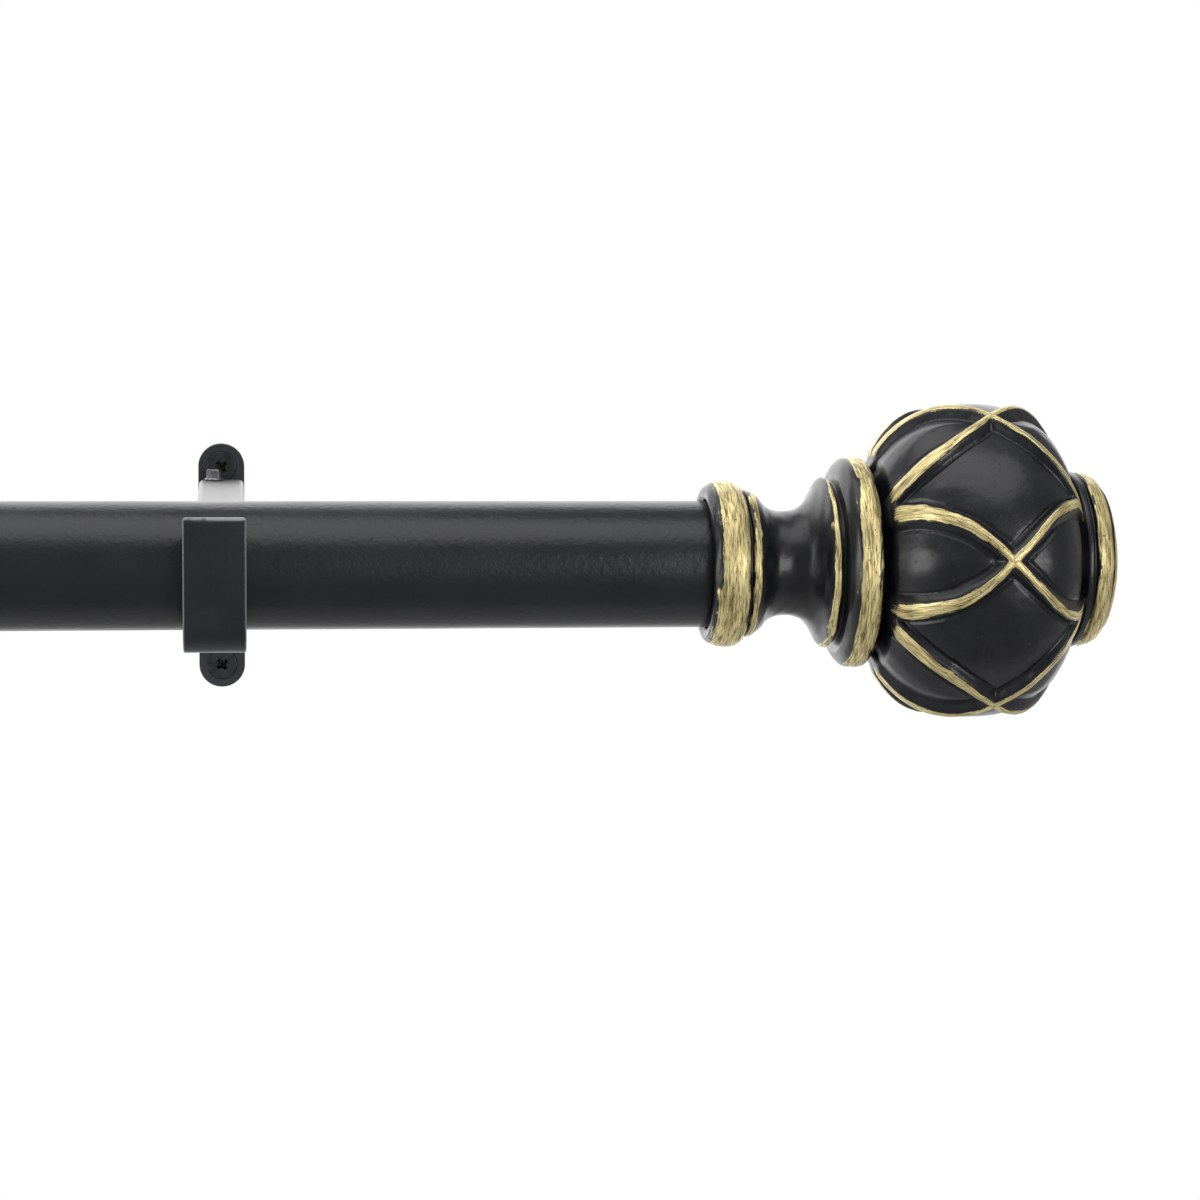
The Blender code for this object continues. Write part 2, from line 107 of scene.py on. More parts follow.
def taken_off(maker):
    """The mesh that an object's modifiers make. The object itself is removed."""
    bpy.context.view_layer.update()
    depsgraph = bpy.context.evaluated_depsgraph_get()
    mesh = bpy.data.meshes.new_from_object(maker.evaluated_get(depsgraph), depsgraph=depsgraph)
    bpy.data.objects.remove(maker, do_unlink=True)
    return mesh


print("mesh helpers ready")

# %% [markdown]
# A long lens keeps the rod's edges nearly parallel. The camera stands a little to the left of the
# finial and a little above it, so that the top of the arm and the dark face of the collar both show.

# %% Camera
CAMERA_PLACE = Vector((0.00153, -0.66722, 0.07996))
CAMERA_TURN = radians(7.36)
CAMERA_TILT = radians(7.5)
CAMERA_ROLL = radians(0.7)
LENS_MM = 87.0
NEAREST_SEEN = 0.01


def look_along(turn, tilt, roll):
    """Rotation matrix of a camera that looks along +Y, turned to the right, tilted down, rolled."""
    forward = Vector((sin(turn) * cos(tilt), cos(turn) * cos(tilt), -sin(tilt)))
    right = forward.cross(Vector((0, 0, 1))).normalized()
    up = right.cross(forward)
    rolled = right * cos(roll) + up * sin(roll)
    return Matrix((rolled, up * cos(roll) - right * sin(roll), -forward)).transposed().to_4x4()


camera = scene_object("camera", bpy.data.cameras.new("camera"))
camera.matrix_world = Matrix.Translation(CAMERA_PLACE) @ look_along(CAMERA_TURN, CAMERA_TILT, CAMERA_ROLL)
camera.data.lens = LENS_MM
camera.data.clip_start = NEAREST_SEEN
bpy.context.scene.camera = camera
print("camera at", [round(v, 3) for v in camera.location])

# %% [markdown]
# ## Arithmetic as nodes
# Both the finishes and the finial's lattice are rules, and a rule is easiest to read as arithmetic.
# A Field wraps a node's output so that a + b, a * b and so on make the Math node for it. The same
# helper serves material trees and Geometry Nodes trees, because Math is the same node in both.


# %% Fields
def plug(tree, value, slot):
    """Link a field to a socket, or write a plain number, vector or colour on it."""
    if isinstance(value, Field):
        tree.links.new(value.socket, slot)
    else:
        slot.default_value = value


def fill(tree, node, values):
    """Plugs fields or plain values into a node's inputs, by name or number."""
    for key, value in values.items():
        plug(tree, value, node.inputs[key])
    return node


class Field:
    """A value that varies over a surface."""

    def __init__(self, tree, socket):
        self.tree = tree
        self.socket = socket

    def math(self, operation, *others):
        node = self.tree.nodes.new("ShaderNodeMath")
        node.operation = operation
        for slot, value in zip(node.inputs, (self, *others)):
            plug(self.tree, value, slot)
        return Field(self.tree, node.outputs[0])

    def __add__(self, other):
        return self.math("ADD", other)

    def __sub__(self, other):
        return self.math("SUBTRACT", other)

    def __mul__(self, other):
        return self.math("MULTIPLY", other)

    def __truediv__(self, other):
        return self.math("DIVIDE", other)

    def __pow__(self, other):
        return self.math("POWER", other)

    def ramp(self, start, end, low=0.0, high=1.0):
        """Rises smoothly from low to high as this goes from start to end."""
        node = self.tree.nodes.new("ShaderNodeMapRange")
        node.interpolation_type = "SMOOTHSTEP"
        for slot, value in zip(node.inputs[:5], (self, start, end, low, high)):
            plug(self.tree, value, slot)
        return Field(self.tree, node.outputs[0])


def vector_of(tree, x, y, z):
    node = tree.nodes.new("ShaderNodeCombineXYZ")
    for slot, value in zip(node.inputs, (x, y, z)):
        plug(tree, value, slot)
    return Field(tree, node.outputs[0])


def parts_of(vector):
    node = vector.tree.nodes.new("ShaderNodeSeparateXYZ")
    plug(vector.tree, vector, node.inputs[0])
    return [Field(vector.tree, out) for out in node.outputs]


def noise(vector, scale, detail=2.0, rough=0.5):
    """Cloudy value about 0.5."""
    tree = vector.tree
    settings = {"Vector": vector, "Scale": scale, "Detail": detail, "Roughness": rough}
    return Field(tree, fill(tree, tree.nodes.new("ShaderNodeTexNoise"), settings).outputs[0])


print("fields ready")

# %% [markdown]
# ## Finishes
# A paint is never one flat colour. Each finish below starts from the same kind of tree: the part's own
# Object coordinates feed two or three noises, which vary the colour a little, the roughness a little
# more, and the height of the surface, as the film of a sprayed or brushed coat does.


# %% A blank finish
def new_finish(name):
    made = bpy.data.materials.new(name)
    made.use_nodes = True
    shader = made.node_tree.nodes["Principled BSDF"]
    place = made.node_tree.nodes.new("ShaderNodeTexCoord")
    return made, shader, Field(made.node_tree, place.outputs["Object"])


def blend_colour(tree, share, low, high):
    """A colour that goes from low to high as share goes from 0 to 1."""
    node = tree.nodes.new("ShaderNodeMix")
    node.data_type = "RGBA"
    plug(tree, share, node.inputs[0])
    for slot, colour in ((node.inputs[6], low), (node.inputs[7], high)):
        plug(tree, colour if isinstance(colour, Field) else (*colour, 1.0), slot)
    return Field(tree, node.outputs[2])


def attribute(tree, name, output="Fac"):
    """What a mesh's points carry under a name."""
    node = tree.nodes.new("ShaderNodeAttribute")
    node.attribute_name = name
    return Field(tree, node.outputs[output])


def add_bump(tree, shader, height, depth):
    settings = {"Strength": 1.0, "Distance": depth, "Height": height}
    node = fill(tree, tree.nodes.new("ShaderNodeBump"), settings)
    tree.links.new(node.outputs["Normal"], shader.inputs["Normal"])


print("blank finish ready")

# %% [markdown]
# Powder coat is a baked film with a faint orange peel, a skin of shallow dimples about a millimetre
# across. Where the rod has been handled, small dry scuffs lie round it, a little paler and duller.


# %% Powder coat, bracket paint and nylon
# Painted highlight: a pale grey is painted in patches on the edges that carry the attribute marking them (the
# cradles' sides and the top of the lip), where their rounded edges catch the light.
EDGE_HIGHLIGHT_COLOUR = (0.42, 0.43, 0.45)
EDGE_HIGHLIGHT_SHARE = 0.55
CLOUDS = 55.0  # repeats of a pattern in a metre, as are the next five
SCUFF_PATCHES = 30.0
SCUFFS_ALONG = 60.0
SCUFFS_ACROSS = 900.0
EDGE_HIGHLIGHT_PATCHES = 260.0
GRIT = 4200.0


def sprayed_finish(name, dark, pale, roughness, peel_size, peel_depth, scuffs=0.0):
    made, shader, place = new_finish(name)
    tree = made.node_tree
    cloud = noise(place, CLOUDS, 3.0)
    peel = noise(place, 1.0 / peel_size, 2.0)
    x, y, z = parts_of(place)
    along = vector_of(tree, x * SCUFFS_ALONG, y * SCUFFS_ACROSS, z * SCUFFS_ACROSS)
    handled = noise(place, SCUFF_PATCHES, 2.0).ramp(0.46, 0.64)
    dry = noise(along, 1.0, 4.0, 0.7).ramp(0.61, 0.77) * handled
    tone = cloud.ramp(0.3, 0.7) * 0.8 + dry * scuffs
    # painted highlight on the marked edges, broken in patches
    edge = attribute(tree, "worn") * noise(place, EDGE_HIGHLIGHT_PATCHES, 4.0, 0.6).ramp(0.22, 0.46)
    paint = blend_colour(tree, tone, dark, pale)
    fill(tree, shader, {
        "Base Color": blend_colour(tree, edge * EDGE_HIGHLIGHT_SHARE, paint, EDGE_HIGHLIGHT_COLOUR),
        "Roughness": cloud * 0.16 + (dry * (0.2 * scuffs) + (roughness - 0.08)),
    })
    add_bump(tree, shader, peel + noise(place, GRIT, 1.0) * 0.12, peel_depth)
    return made


ROD_COAT = sprayed_finish(
    "rod_powder_coat", (0.0055, 0.0068, 0.0102), (0.0105, 0.0122, 0.0162), 0.33, 1.15 * MM, 0.07 * MM, 1.0
)
BRACKET_PAINT = sprayed_finish(
    "bracket_paint", (0.0085, 0.0102, 0.0138), (0.0145, 0.0168, 0.0212), 0.36, 0.9 * MM, 0.06 * MM, 0.5
)
# The wall plate is the same black paint as the bracket, given a paler colour as painted light that lifts it
# out of the shade of the rod and cradle in front of it.
PLATE_PAINT_WITH_PAINTED_LIGHT = sprayed_finish(
    "wall_plate_paint", (0.032, 0.036, 0.043), (0.050, 0.056, 0.064), 0.40, 0.9 * MM, 0.06 * MM, 0.5
)
NYLON = sprayed_finish("moulded_nylon", (0.02, 0.02, 0.021), (0.034, 0.034, 0.035), 0.55, 0.5 * MM, 0.02 * MM)
print("sprayed finishes:", ROD_COAT.name, BRACKET_PAINT.name, NYLON.name)

# %% [markdown]
# The arm has an enamel with a much stronger and broader sheen than the rest of the bracket, and a few
# runs along it, so its flat top turns pale under the panel behind. The screws are plated metal: grey
# zinc on the clamp screws, black oxide on the wall screws, both with the faint streaks of tumbling.


# %% Arm enamel and screw metals
ENAMEL_DARK = (0.014, 0.015, 0.017)
ENAMEL_PALE = (0.04, 0.042, 0.045)
ENAMEL_IOR = 2.0
ENAMEL_COAT_ROUGHNESS = 0.58
ENAMEL_DEPTH = 0.01 * MM
RUNS_ALONG = 45.0  # repeats in a metre, as are the next five
RUNS_ACROSS = 500.0
SPECKS = 1500.0
STREAKS_UP = 700.0
STREAKS_ACROSS = 1800.0
STAINS = 420.0
METAL_DEPTH = 0.02 * MM


def enamel_finish():
    made, shader, place = new_finish("arm_enamel")
    tree = made.node_tree
    x, y, z = parts_of(place)
    runs = noise(vector_of(tree, x * RUNS_ACROSS, y * RUNS_ALONG, z * RUNS_ACROSS), 1.0, 3.0)
    specks = noise(place, SPECKS, 2.0).ramp(0.62, 0.75)
    fill(tree, shader, {
        "Base Color": blend_colour(tree, specks, ENAMEL_DARK, ENAMEL_PALE),
        "Roughness": runs * 0.12 + (specks * 0.1 + 0.52),
        "Specular IOR Level": 1.0,
        "IOR": ENAMEL_IOR,
        "Coat Weight": 1.0,
        "Coat IOR": ENAMEL_IOR,
        "Coat Roughness": ENAMEL_COAT_ROUGHNESS,
    })
    add_bump(tree, shader, runs + specks * 0.2, ENAMEL_DEPTH)
    return made


def metal_finish(name, dark, pale, roughness):
    made, shader, place = new_finish(name)
    tree = made.node_tree
    x, y, z = parts_of(place)
    stretched = vector_of(tree, x * STREAKS_ACROSS, y * STREAKS_ACROSS, z * STREAKS_UP)
    streaks = noise(stretched, 1.0, 3.0)
    fill(tree, shader, {
        "Base Color": blend_colour(tree, noise(place, STAINS, 3.0).ramp(0.3, 0.7), dark, pale),
        "Roughness": streaks * 0.25 + (roughness - 0.12),
        "Metallic": 1.0,
    })
    add_bump(tree, shader, streaks, METAL_DEPTH)
    return made


ARM_ENAMEL = enamel_finish()
ZINC = metal_finish("zinc_plate", (0.10, 0.10, 0.112), (0.25, 0.25, 0.268), 0.36)
BLACK_OXIDE = metal_finish("black_oxide", (0.05, 0.053, 0.058), (0.085, 0.088, 0.095), 0.46)
print("metals:", ZINC.name, BLACK_OXIDE.name)

# %% [markdown]
# The finial is cast resin, sprayed semi-gloss black, and then a nearly dry brush of gold is dragged
# over its raised edges. The gold keeps to the crests, thins out in streaks along the stroke and skips
# where the casting is low. Each mesh therefore carries two attributes of its own: gilt says how
# exposed a point is, and stroke gives its place across and along the brush, in millimetres.


# %% Gilded resin
GOLD_DEEP = (0.20, 0.145, 0.042)
GOLD_BRIGHT = (1.0, 0.85, 0.42)
RESIN_DARK = (0.0042, 0.0050, 0.0072)
RESIN_PALE = (0.0095, 0.0106, 0.0135)
HAIRS_ACROSS, HAIRS_ALONG = 4.0, 0.28  # repeats in a millimetre of brush stroke
BRISTLES_ACROSS, BRISTLES_ALONG = 1.1, 0.12
BRUSH_RELIEF = 0.09 * MM


def gilded_finish():
    made, shader, place = new_finish("gilded_resin")
    tree = made.node_tree
    gilt = attribute(tree, "gilt")
    across, along, other = parts_of(attribute(tree, "stroke", "Vector"))
    fine = vector_of(tree, across * HAIRS_ACROSS, along * HAIRS_ALONG, other * HAIRS_ALONG)
    broad = vector_of(
        tree, across * BRISTLES_ACROSS, along * BRISTLES_ALONG, other * BRISTLES_ALONG + 7.0
    )
    hairs = noise(fine, 1.0, 5.0, 0.72)
    streaks = noise(broad, 1.0, 3.0, 0.6)
    patches = noise(place, 190.0, 4.0, 0.6)
    pits = noise(place, 1300.0, 2.0).ramp(0.68, 0.74)
    cover = gilt + (hairs - 0.5) * 0.9 + (patches - 0.5) * 1.1
    gold = cover.ramp(0.45, 0.55) * (pits * -0.8 + 1.0)
    rubbed_gold_and_edge_highlight = hairs.ramp(0.40, 0.58) * 0.75 + streaks.ramp(0.38, 0.62) * 0.25
    metal = blend_colour(tree, rubbed_gold_and_edge_highlight, GOLD_DEEP, GOLD_BRIGHT)
    worn = (streaks.ramp(0.30, 0.40) * 0.4 + 0.6) * (hairs.ramp(0.33, 0.41) * 0.75 + 0.25)
    gold = gold * worn
    black = blend_colour(tree, patches.ramp(0.35, 0.7), RESIN_DARK, RESIN_PALE)
    fill(tree, shader, {
        "Base Color": blend_colour(tree, gold, black, metal),
        "Metallic": gold * 0.6,
        "Roughness": gold * 0.08 + (patches * 0.14 + 0.25),
    })
    lumps = noise(place, 260.0, 2.0)
    brushing = noise(place, 1700.0, 3.0, 0.65)
    casting = lumps * 0.7 + brushing * 0.28 - pits * 0.7
    add_bump(tree, shader, hairs * gold * 0.8 + casting + gold * 0.3, BRUSH_RELIEF)
    return made


GILDED_RESIN = gilded_finish()
print("gilded finish ready")

# %% [markdown]
# ## Turned pieces
# Anything round about the rod's axis can be made by turning an outline, as on a lathe: tubes, rings,
# the finial's collar and its tip. The outline is given by its corners, each with its own rounding,
# so that no edge is knife sharp. Where the outline meets the axis the surface closes in one point.

# %% Outline and lathe
FILLET_STEPS = 4
CLOSEST = 0.001  # millimetres; nearer points of an outline are one point


def rounded_outline(corners):
    """(along, radius, gilt) points from corners of (along, radius, rounding, gilt), in millimetres."""
    points = []
    for i, (along, radius, rounding, gilt) in enumerate(corners):
        here = Vector((along, radius))
        if rounding == 0 or i in (0, len(corners) - 1):
            points.append((along, radius, gilt))
            continue
        before = Vector(corners[i - 1][:2]) - here
        after = Vector(corners[i + 1][:2]) - here
        start = here + before.normalized() * min(rounding, before.length / 2)
        end = here + after.normalized() * min(rounding, after.length / 2)
        for step in range(FILLET_STEPS + 1):
            share = step / FILLET_STEPS
            bent = start * (1 - share) ** 2 + here * 2 * share * (1 - share) + end * share**2
            points.append((bent.x, bent.y, gilt))
    spaced = points[:1]
    for point in points[1:]:
        if (Vector(point[:2]) - Vector(spaced[-1][:2])).length > CLOSEST:
            spaced.append(point)
    return spaced


SWAYS_ABOVE = 13.6  # millimetres from the axis, where the gold bands are
SWAY = 1.3
GILT_WANDER = 0.5  # millimetres the edge of the gold strays along the outline
TURNED_SHARP = radians(38)


def skin(shape, rings, columns, closed=False):
    """Faces from each ring of points to the next. A ring of one point closes the surface there."""
    pairs = list(zip(rings, rings[1:])) + ([(rings[-1], rings[0])] if closed else [])
    for low, high in pairs:
        for i in range(columns):
            j = (i + 1) % columns
            face = [low[i % len(low)], low[j % len(low)], high[j % len(high)], high[i % len(high)]]
            face = list(dict.fromkeys(face))
            if len(face) > 2:
                shape.faces.new(face)


def turned_mesh(name, corners, columns, uneven=0.0, closed=False):
    """Turns an outline about X. The mesh starts at the origin and carries gilt and stroke."""
    outline = np.array(rounded_outline(corners))
    along, radius, gilt = outline.T
    angle = np.linspace(0, 2 * pi, columns, endpoint=False)
    ripple = sin_ripple(along[:, None], angle[None, :]) * uneven
    sway = sin_ripple(along[:, None] * 1.7 + 4.0, angle[None, :]) * uneven * SWAY
    sway = np.where(radius[:, None] > SWAYS_ABOVE, sway, 0.0)
    reach = np.where(radius[:, None] > 0, radius[:, None] + ripple, 0.0)
    steps = np.hypot(np.diff(along), np.diff(radius))
    path = np.concatenate(([0.0], np.cumsum(np.maximum(steps, 1e-6))))
    wander = sin_ripple(along[:, None] * 0.6 + 9.0, angle[None, :]) - np.sin(angle) * 1.1
    wander = wander * GILT_WANDER
    painted = np.interp(path[:, None] + wander * (uneven > 0), path, gilt)
    spots = np.stack([along[:, None] + sway, -reach * np.cos(angle), reach * np.sin(angle)], axis=-1)
    shape = bmesh.new()
    gilt_layer = shape.verts.layers.float.new("gilt")
    stroke_layer = shape.verts.layers.float_vector.new("stroke")
    grid = []
    for row in range(len(outline)):
        made = []
        for column, spot in enumerate(spots[row, : 1 if radius[row] == 0 else columns]):
            vert = shape.verts.new(spot * MM)
            vert[gilt_layer] = painted[row, column]
            vert[stroke_layer] = spot
            made.append(vert)
        grid.append(made)
    skin(shape, grid, columns, closed)
    bmesh.ops.recalc_face_normals(shape, faces=shape.faces)
    mesh = written_out(shape, name)
    mesh.shade_smooth()
    mesh.set_sharp_from_angle(angle=TURNED_SHARP)
    return mesh


def sin_ripple(along, angle):
    """Slow unevenness of a hand-finished casting, which closes on itself round the axis."""
    waves = ((2, 0.31, 0.4), (3, -0.52, 1.9), (5, 0.83, 3.1), (7, 1.4, 5.0), (11, -2.1, 0.7))
    return sum(np.sin(turns * angle + slope * along + start) for turns, slope, start in waves) / len(waves)


print("lathe ready")

# %% [markdown]
# A finished piece keeps its object at the origin, with its place in its mesh, so that a pattern on
# Object coordinates and the mesh agree. One helper places a mesh, gives it its finish, hides
# the plain solid that it stands for and lets it ride on the right body.


# %% Putting a piece in its place
def put(name, mesh, finish, body, nodes, matrix=None):
    if matrix is not None:
        mesh.transform(matrix)
    mesh.materials.clear()
    mesh.materials.append(finish)
    piece = scene_object(name, mesh)
    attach(piece, body)
    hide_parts(*nodes)
    print(f"{name}: {len(mesh.polygons)} faces on {body}")


FINIAL_LEAN = radians(0.6)  # it sits a hair high on its spigot


def finial_place(side):
    """From the finial's own frame, its axis along +X from the collar's face, to the rod's end."""
    face, away = SIDES[side]
    turn = Matrix.Identity(4) if away > 0 else Matrix.Rotation(pi, 4, "Z")
    return Matrix.Translation((face, AXIS.y, AXIS.z)) @ turn @ Matrix.Rotation(-FINIAL_LEAN, 4, "Y")


def put_on_finial(side, part, mesh):
    body = side + "_finial"
    put(f"{body}_{part}", mesh, GILDED_RESIN, body, [body], finial_place(side))


print("placing ready")

# %% [markdown]
# ## The two tubes and their nylon rings
# A rolled steel tube, deburred at both ends. The outer tube's left end holds a nylon sleeve that the
# inner tube slides in, and a second ring fills the left collar round the thinner tube. Lengths are read
# off the frame's boxes, and 128 columns keep the long highlight free of facets.

# %% Tubes
TUBE_COLUMNS = 128
DEBURR = 0.25
WALL = 0.8


def tube_outline(length, radius, bore, rounding=DEBURR):
    corners = ((0, bore), (0, radius), (length, radius), (length, bore))
    corners = [(along, out, rounding, 0.0) for along, out in corners]
    return [(length / 2, bore, 0, 0.0), *corners]


def put_tube(node, wall, finish, body, rounding=DEBURR):
    low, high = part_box(node)
    radius = (high.z - low.z) / 2 / MM
    length = (high.x - low.x) / MM
    mesh = turned_mesh(node, tube_outline(length, radius, radius - wall, rounding), TUBE_COLUMNS, closed=True)
    put(node + "_fine", mesh, finish, body, [node], Matrix.Translation((low.x, AXIS.y, AXIS.z)))


put_tube("outer_tube", WALL, ROD_COAT, "rod")
put_tube("inner_tube", WALL, ROD_COAT, "extension")
REDUCER_WALL = 1.5
REDUCER_ROUNDING = 0.4
put_tube("reducer_ring", REDUCER_WALL, NYLON, "extension", REDUCER_ROUNDING)

# %% [markdown]
# ## The finial's collar, neck and flange
# From the rod outwards: a thick gold collar round the rod, a groove, a thin second ring, the black
# neck that narrows and flares like a trumpet, a thin ring at its shoulder, a deep groove and the broad
# gold flange that carries the ball. All of it was turned on the pattern, so it is turned here too, with
# a slow ripple a tenth of a millimetre deep because every casting was dressed by hand.

# %% Collar, neck and flange
FINIAL_COLUMNS = 192
HAND_RIPPLE = 0.13
COLLAR_CORNERS = [
    (27.2, 0.0, 0, 0.0), (27.2, 2.3, 0, 0.0), (8.0, 2.3, 0, 0.0), (8.0, 13.0, 0.3, 0.0),
    (0.7, 13.0, 0.3, 0.0), (0.05, 13.7, 0.4, 0.0), (0.05, 14.9, 0.5, 0.0), (0.9, 15.85, 0.6, 0.35),
    (1.9, 16.35, 0.4, 0.85), (2.5, 16.6, 0.4, 0.95), (4.6, 16.75, 1.0, 0.98), (6.3, 16.4, 0.8, 0.9),
    (7.2, 15.7, 0.3, 0.5), (7.4, 14.3, 0.2, 0.0), (7.9, 14.1, 0.2, 0.0), (8.15, 14.8, 0.25, 0.5),
    (9.1, 14.75, 0.4, 0.8), (9.9, 14.2, 0.3, 0.35), (10.9, 13.5, 0.6, 0.0),
    (12.0, 12.0, 0.8, 0.0), (13.2, 11.05, 0.7, 0.0),
    (14.6, 10.6, 0.7, 0.0), (16.6, 10.4, 0.9, 0.0), (18.6, 10.7, 0.9, 0.0), (20.2, 11.5, 0.8, 0.0),
    (21.5, 12.9, 0.8, 0.0), (22.7, 14.8, 0.7, 0.0), (23.5, 16.3, 0.5, 0.25), (24.1, 17.1, 0.3, 0.75),
    (24.9, 17.3, 0.3, 0.6), (25.2, 16.2, 0.2, 0.0), (26.2, 16.1, 0.2, 0.0), (26.4, 18.4, 0.3, 0.0),
    (27.2, 19.9, 0.5, 0.0), (28.0, 20.75, 0.4, 0.3), (28.7, 21.1, 0.5, 0.95), (31.4, 21.2, 0.8, 0.98),
    (32.3, 20.8, 0.4, 0.5), (33.0, 19.8, 0.3, 0.0), (33.2, 17.0, 0.2, 0.0), (33.2, 0.0, 0, 0.0),
]
for side in SIDES:
    mesh = turned_mesh(side + "_collar", COLLAR_CORNERS, FINIAL_COLUMNS, HAND_RIPPLE)
    put_on_finial(side, "collar", mesh)

# %% [markdown]
# ## The finial's tip
# The ball ends in a dark stepped disc with a gold rim, then a thin black line, a thin gold edge and a
# slightly domed button.

# %% Tip
TIP_CORNERS = [
    (73.0, 0.0, 0, 0.0), (73.0, 16.0, 0.3, 0.0), (74.3, 17.2, 0.3, 0.0), (74.9, 17.95, 0.3, 0.1),
    (75.9, 17.9, 0.3, 0.1), (76.2, 17.1, 0.2, 0.0), (76.6, 17.0, 0.2, 0.0), (77.0, 17.75, 0.3, 0.6),
    (78.3, 17.6, 0.6, 0.95), (80.0, 16.7, 0.5, 0.95), (80.5, 15.7, 0.2, 0.3), (80.7, 15.4, 0.2, 0.0),
    (81.2, 15.2, 0.3, 0.85), (82.0, 13.4, 0.4, 0.75), (82.4, 11.4, 0.6, 0.0), (83.1, 8.2, 0.8, 0.0),
    (83.8, 4.0, 1.2, 0.0), (84.0, 0.0, 0, 0.0),
]
for side in SIDES:
    mesh = turned_mesh(side + "_tip", TIP_CORNERS, FINIAL_COLUMNS, HAND_RIPPLE / 2)
    put_on_finial(side, "tip", mesh)

# %% [markdown]
# ## The lattice ball
# Six ribs wind one way round the ball and six the other way, so that they cross six times at its widest
# and meet in points at the flange and at the tip. That is a rule, so Geometry Nodes makes the ball: a
# grid is wrapped into a squarish ball, and each point sinks by an amount that depends only on how far
# it is from the nearest rib. Carving it in edit mode would give the same shape once, but with the rule
# the number of ribs or their width is one number.

# %% Inputs of the lattice ball
BALL_INPUTS = {
    "Columns": 480,
    "Rows": 176,
    "Middle": 54.5,
    "Radius": 33.62,
    "Reach In": 24.5,
    "Reach Out": 21.7,
    "Power In": 2.3,
    "Power Out": 2.5,
    "Crossing": 55.4,
    "Meeting In": 30.8,
    "Meeting Out": 73.6,
    "Ribs": 6.0,
    "First Crossing": radians(6.5),
    "Rib Half Width": 0.85,
    "Flank Width": 1.35,
    "Panel Depth": 1.85,
    "Groove Depth": 0.6,
    "Bulge": 0.75,
    "Hand": 0.30,
}
START_ANGLE = radians(-61)
END_ANGLE = radians(69)


def new_tree(name, numbers):
    """A Geometry Nodes tree with a named input for each number or count, and one for the material."""
    tree = bpy.data.node_groups.new(name, "GeometryNodeTree")
    tree.interface.new_socket("Geometry", in_out="INPUT", socket_type="NodeSocketGeometry")
    for key, value in numbers.items():
        kind = "NodeSocketInt" if isinstance(value, int) else "NodeSocketFloat"
        tree.interface.new_socket(key, in_out="INPUT", socket_type=kind)
    tree.interface.new_socket("Material", in_out="INPUT", socket_type="NodeSocketMaterial")
    tree.interface.new_socket("Geometry", in_out="OUTPUT", socket_type="NodeSocketGeometry")
    entry = tree.nodes.new("NodeGroupInput")
    fields = {out.name: Field(tree, out) for out in entry.outputs if out.name}
    return tree, fields


def finish_tree(tree, geometry, material):
    """Ends a tree in Realize Instances and Set Material."""
    realize = tree.nodes.new("GeometryNodeRealizeInstances")
    paint = tree.nodes.new("GeometryNodeSetMaterial")
    out = tree.nodes.new("NodeGroupOutput")
    tree.links.new(geometry, realize.inputs[0])
    tree.links.new(realize.outputs[0], paint.inputs["Geometry"])
    tree.links.new(material.socket, paint.inputs["Material"])
    tree.links.new(paint.outputs[0], out.inputs[0])


def bake_tree(name, tree, numbers, material, points=()):
    """Runs a tree on a few bare points and returns its result as a plain mesh."""
    start = bpy.data.meshes.new(name + "_points")
    start.from_pydata([tuple(point) for point in points], [], [])
    maker = scene_object(name + "_maker", start)
    modifier = maker.modifiers.new(name, "NODES")
    modifier.node_group = tree
    for socket in tree.interface.items_tree:
        if socket.in_out == "INPUT" and socket.name in numbers:
            modifier[socket.identifier] = numbers[socket.name]
        elif socket.in_out == "INPUT" and socket.name == "Material":
            modifier[socket.identifier] = material
    mesh = taken_off(maker)
    mesh.name = name
    return mesh


def store(tree, geometry, name, kind, value):
    """Keeps a field on the mesh's points under a name."""
    node = tree.nodes.new("GeometryNodeStoreNamedAttribute")
    node.data_type = kind
    fill(tree, node, {"Name": name, "Value": value})
    tree.links.new(geometry, node.inputs["Geometry"])
    return node.outputs[0]


print("ball inputs:", len(BALL_INPUTS))


# %% [markdown]
# The ball's outline is a superellipse. Walking round it by angle spaces the rows evenly, whereas equal
# steps along the axis would leave them far apart where the ball turns in to the flange.


# %% Outline and ribs as fields
WINDING_IN = (1.62, 1.45, 0.83)  # how a rib bends on its way to the flange, as powers of the way
WINDING_OUT = (1.09, 0.09)  # and on its way to the tip


def ball_spot(turn, size):
    """Place along the axis and radius, in millimetres, at an angle from the ball's widest place."""
    outward = turn.math("GREATER_THAN", 0.0)
    power = size["Power In"] + outward * (size["Power Out"] - size["Power In"])
    reach = size["Reach In"] + outward * (size["Reach Out"] - size["Reach In"])
    root = (power / 2.0) ** -1.0
    share = turn.math("SINE").math("ABSOLUTE") ** root
    radius = turn.math("COSINE") ** root * size["Radius"]
    return size["Middle"] + share * reach * turn.math("SIGN"), radius


def rib_angle(along, size):
    """How far a rib has wound from its crossing at a place along the axis, from -1 to 1."""
    crossing = size["Crossing"]
    inward = ((crossing - along) / (crossing - size["Meeting In"])).math("MAXIMUM", 0.0)
    outward = ((along - crossing) / (size["Meeting Out"] - crossing)).math("MAXIMUM", 0.0)
    first, second, third = WINDING_IN
    bent = inward * first - inward * inward * second + inward**3.0 * third
    first, second = WINDING_OUT
    return outward * first - outward * outward * second - bent


def rib_distance(angle, winding, slope, radius, size):
    """Signed distance in millimetres from the nearest rib of one family."""
    step = size["Ribs"].math("POWER", -1.0) * (2 * pi)
    turns = (angle - size["First Crossing"] - winding * step * 0.5) / step
    off = turns - turns.math("ROUND")
    return off * step * radius * slope


print("outline and rib rules ready")


# %% [markdown]
# The section across a rib, from its middle outwards: a rounded crest that takes the gold, a dark flank
# that falls away, a crisp groove, and then the panel. The panels between crossing and flange are
# fuller than the big lozenges, and everything wanders a little, because the pattern was cut by hand.


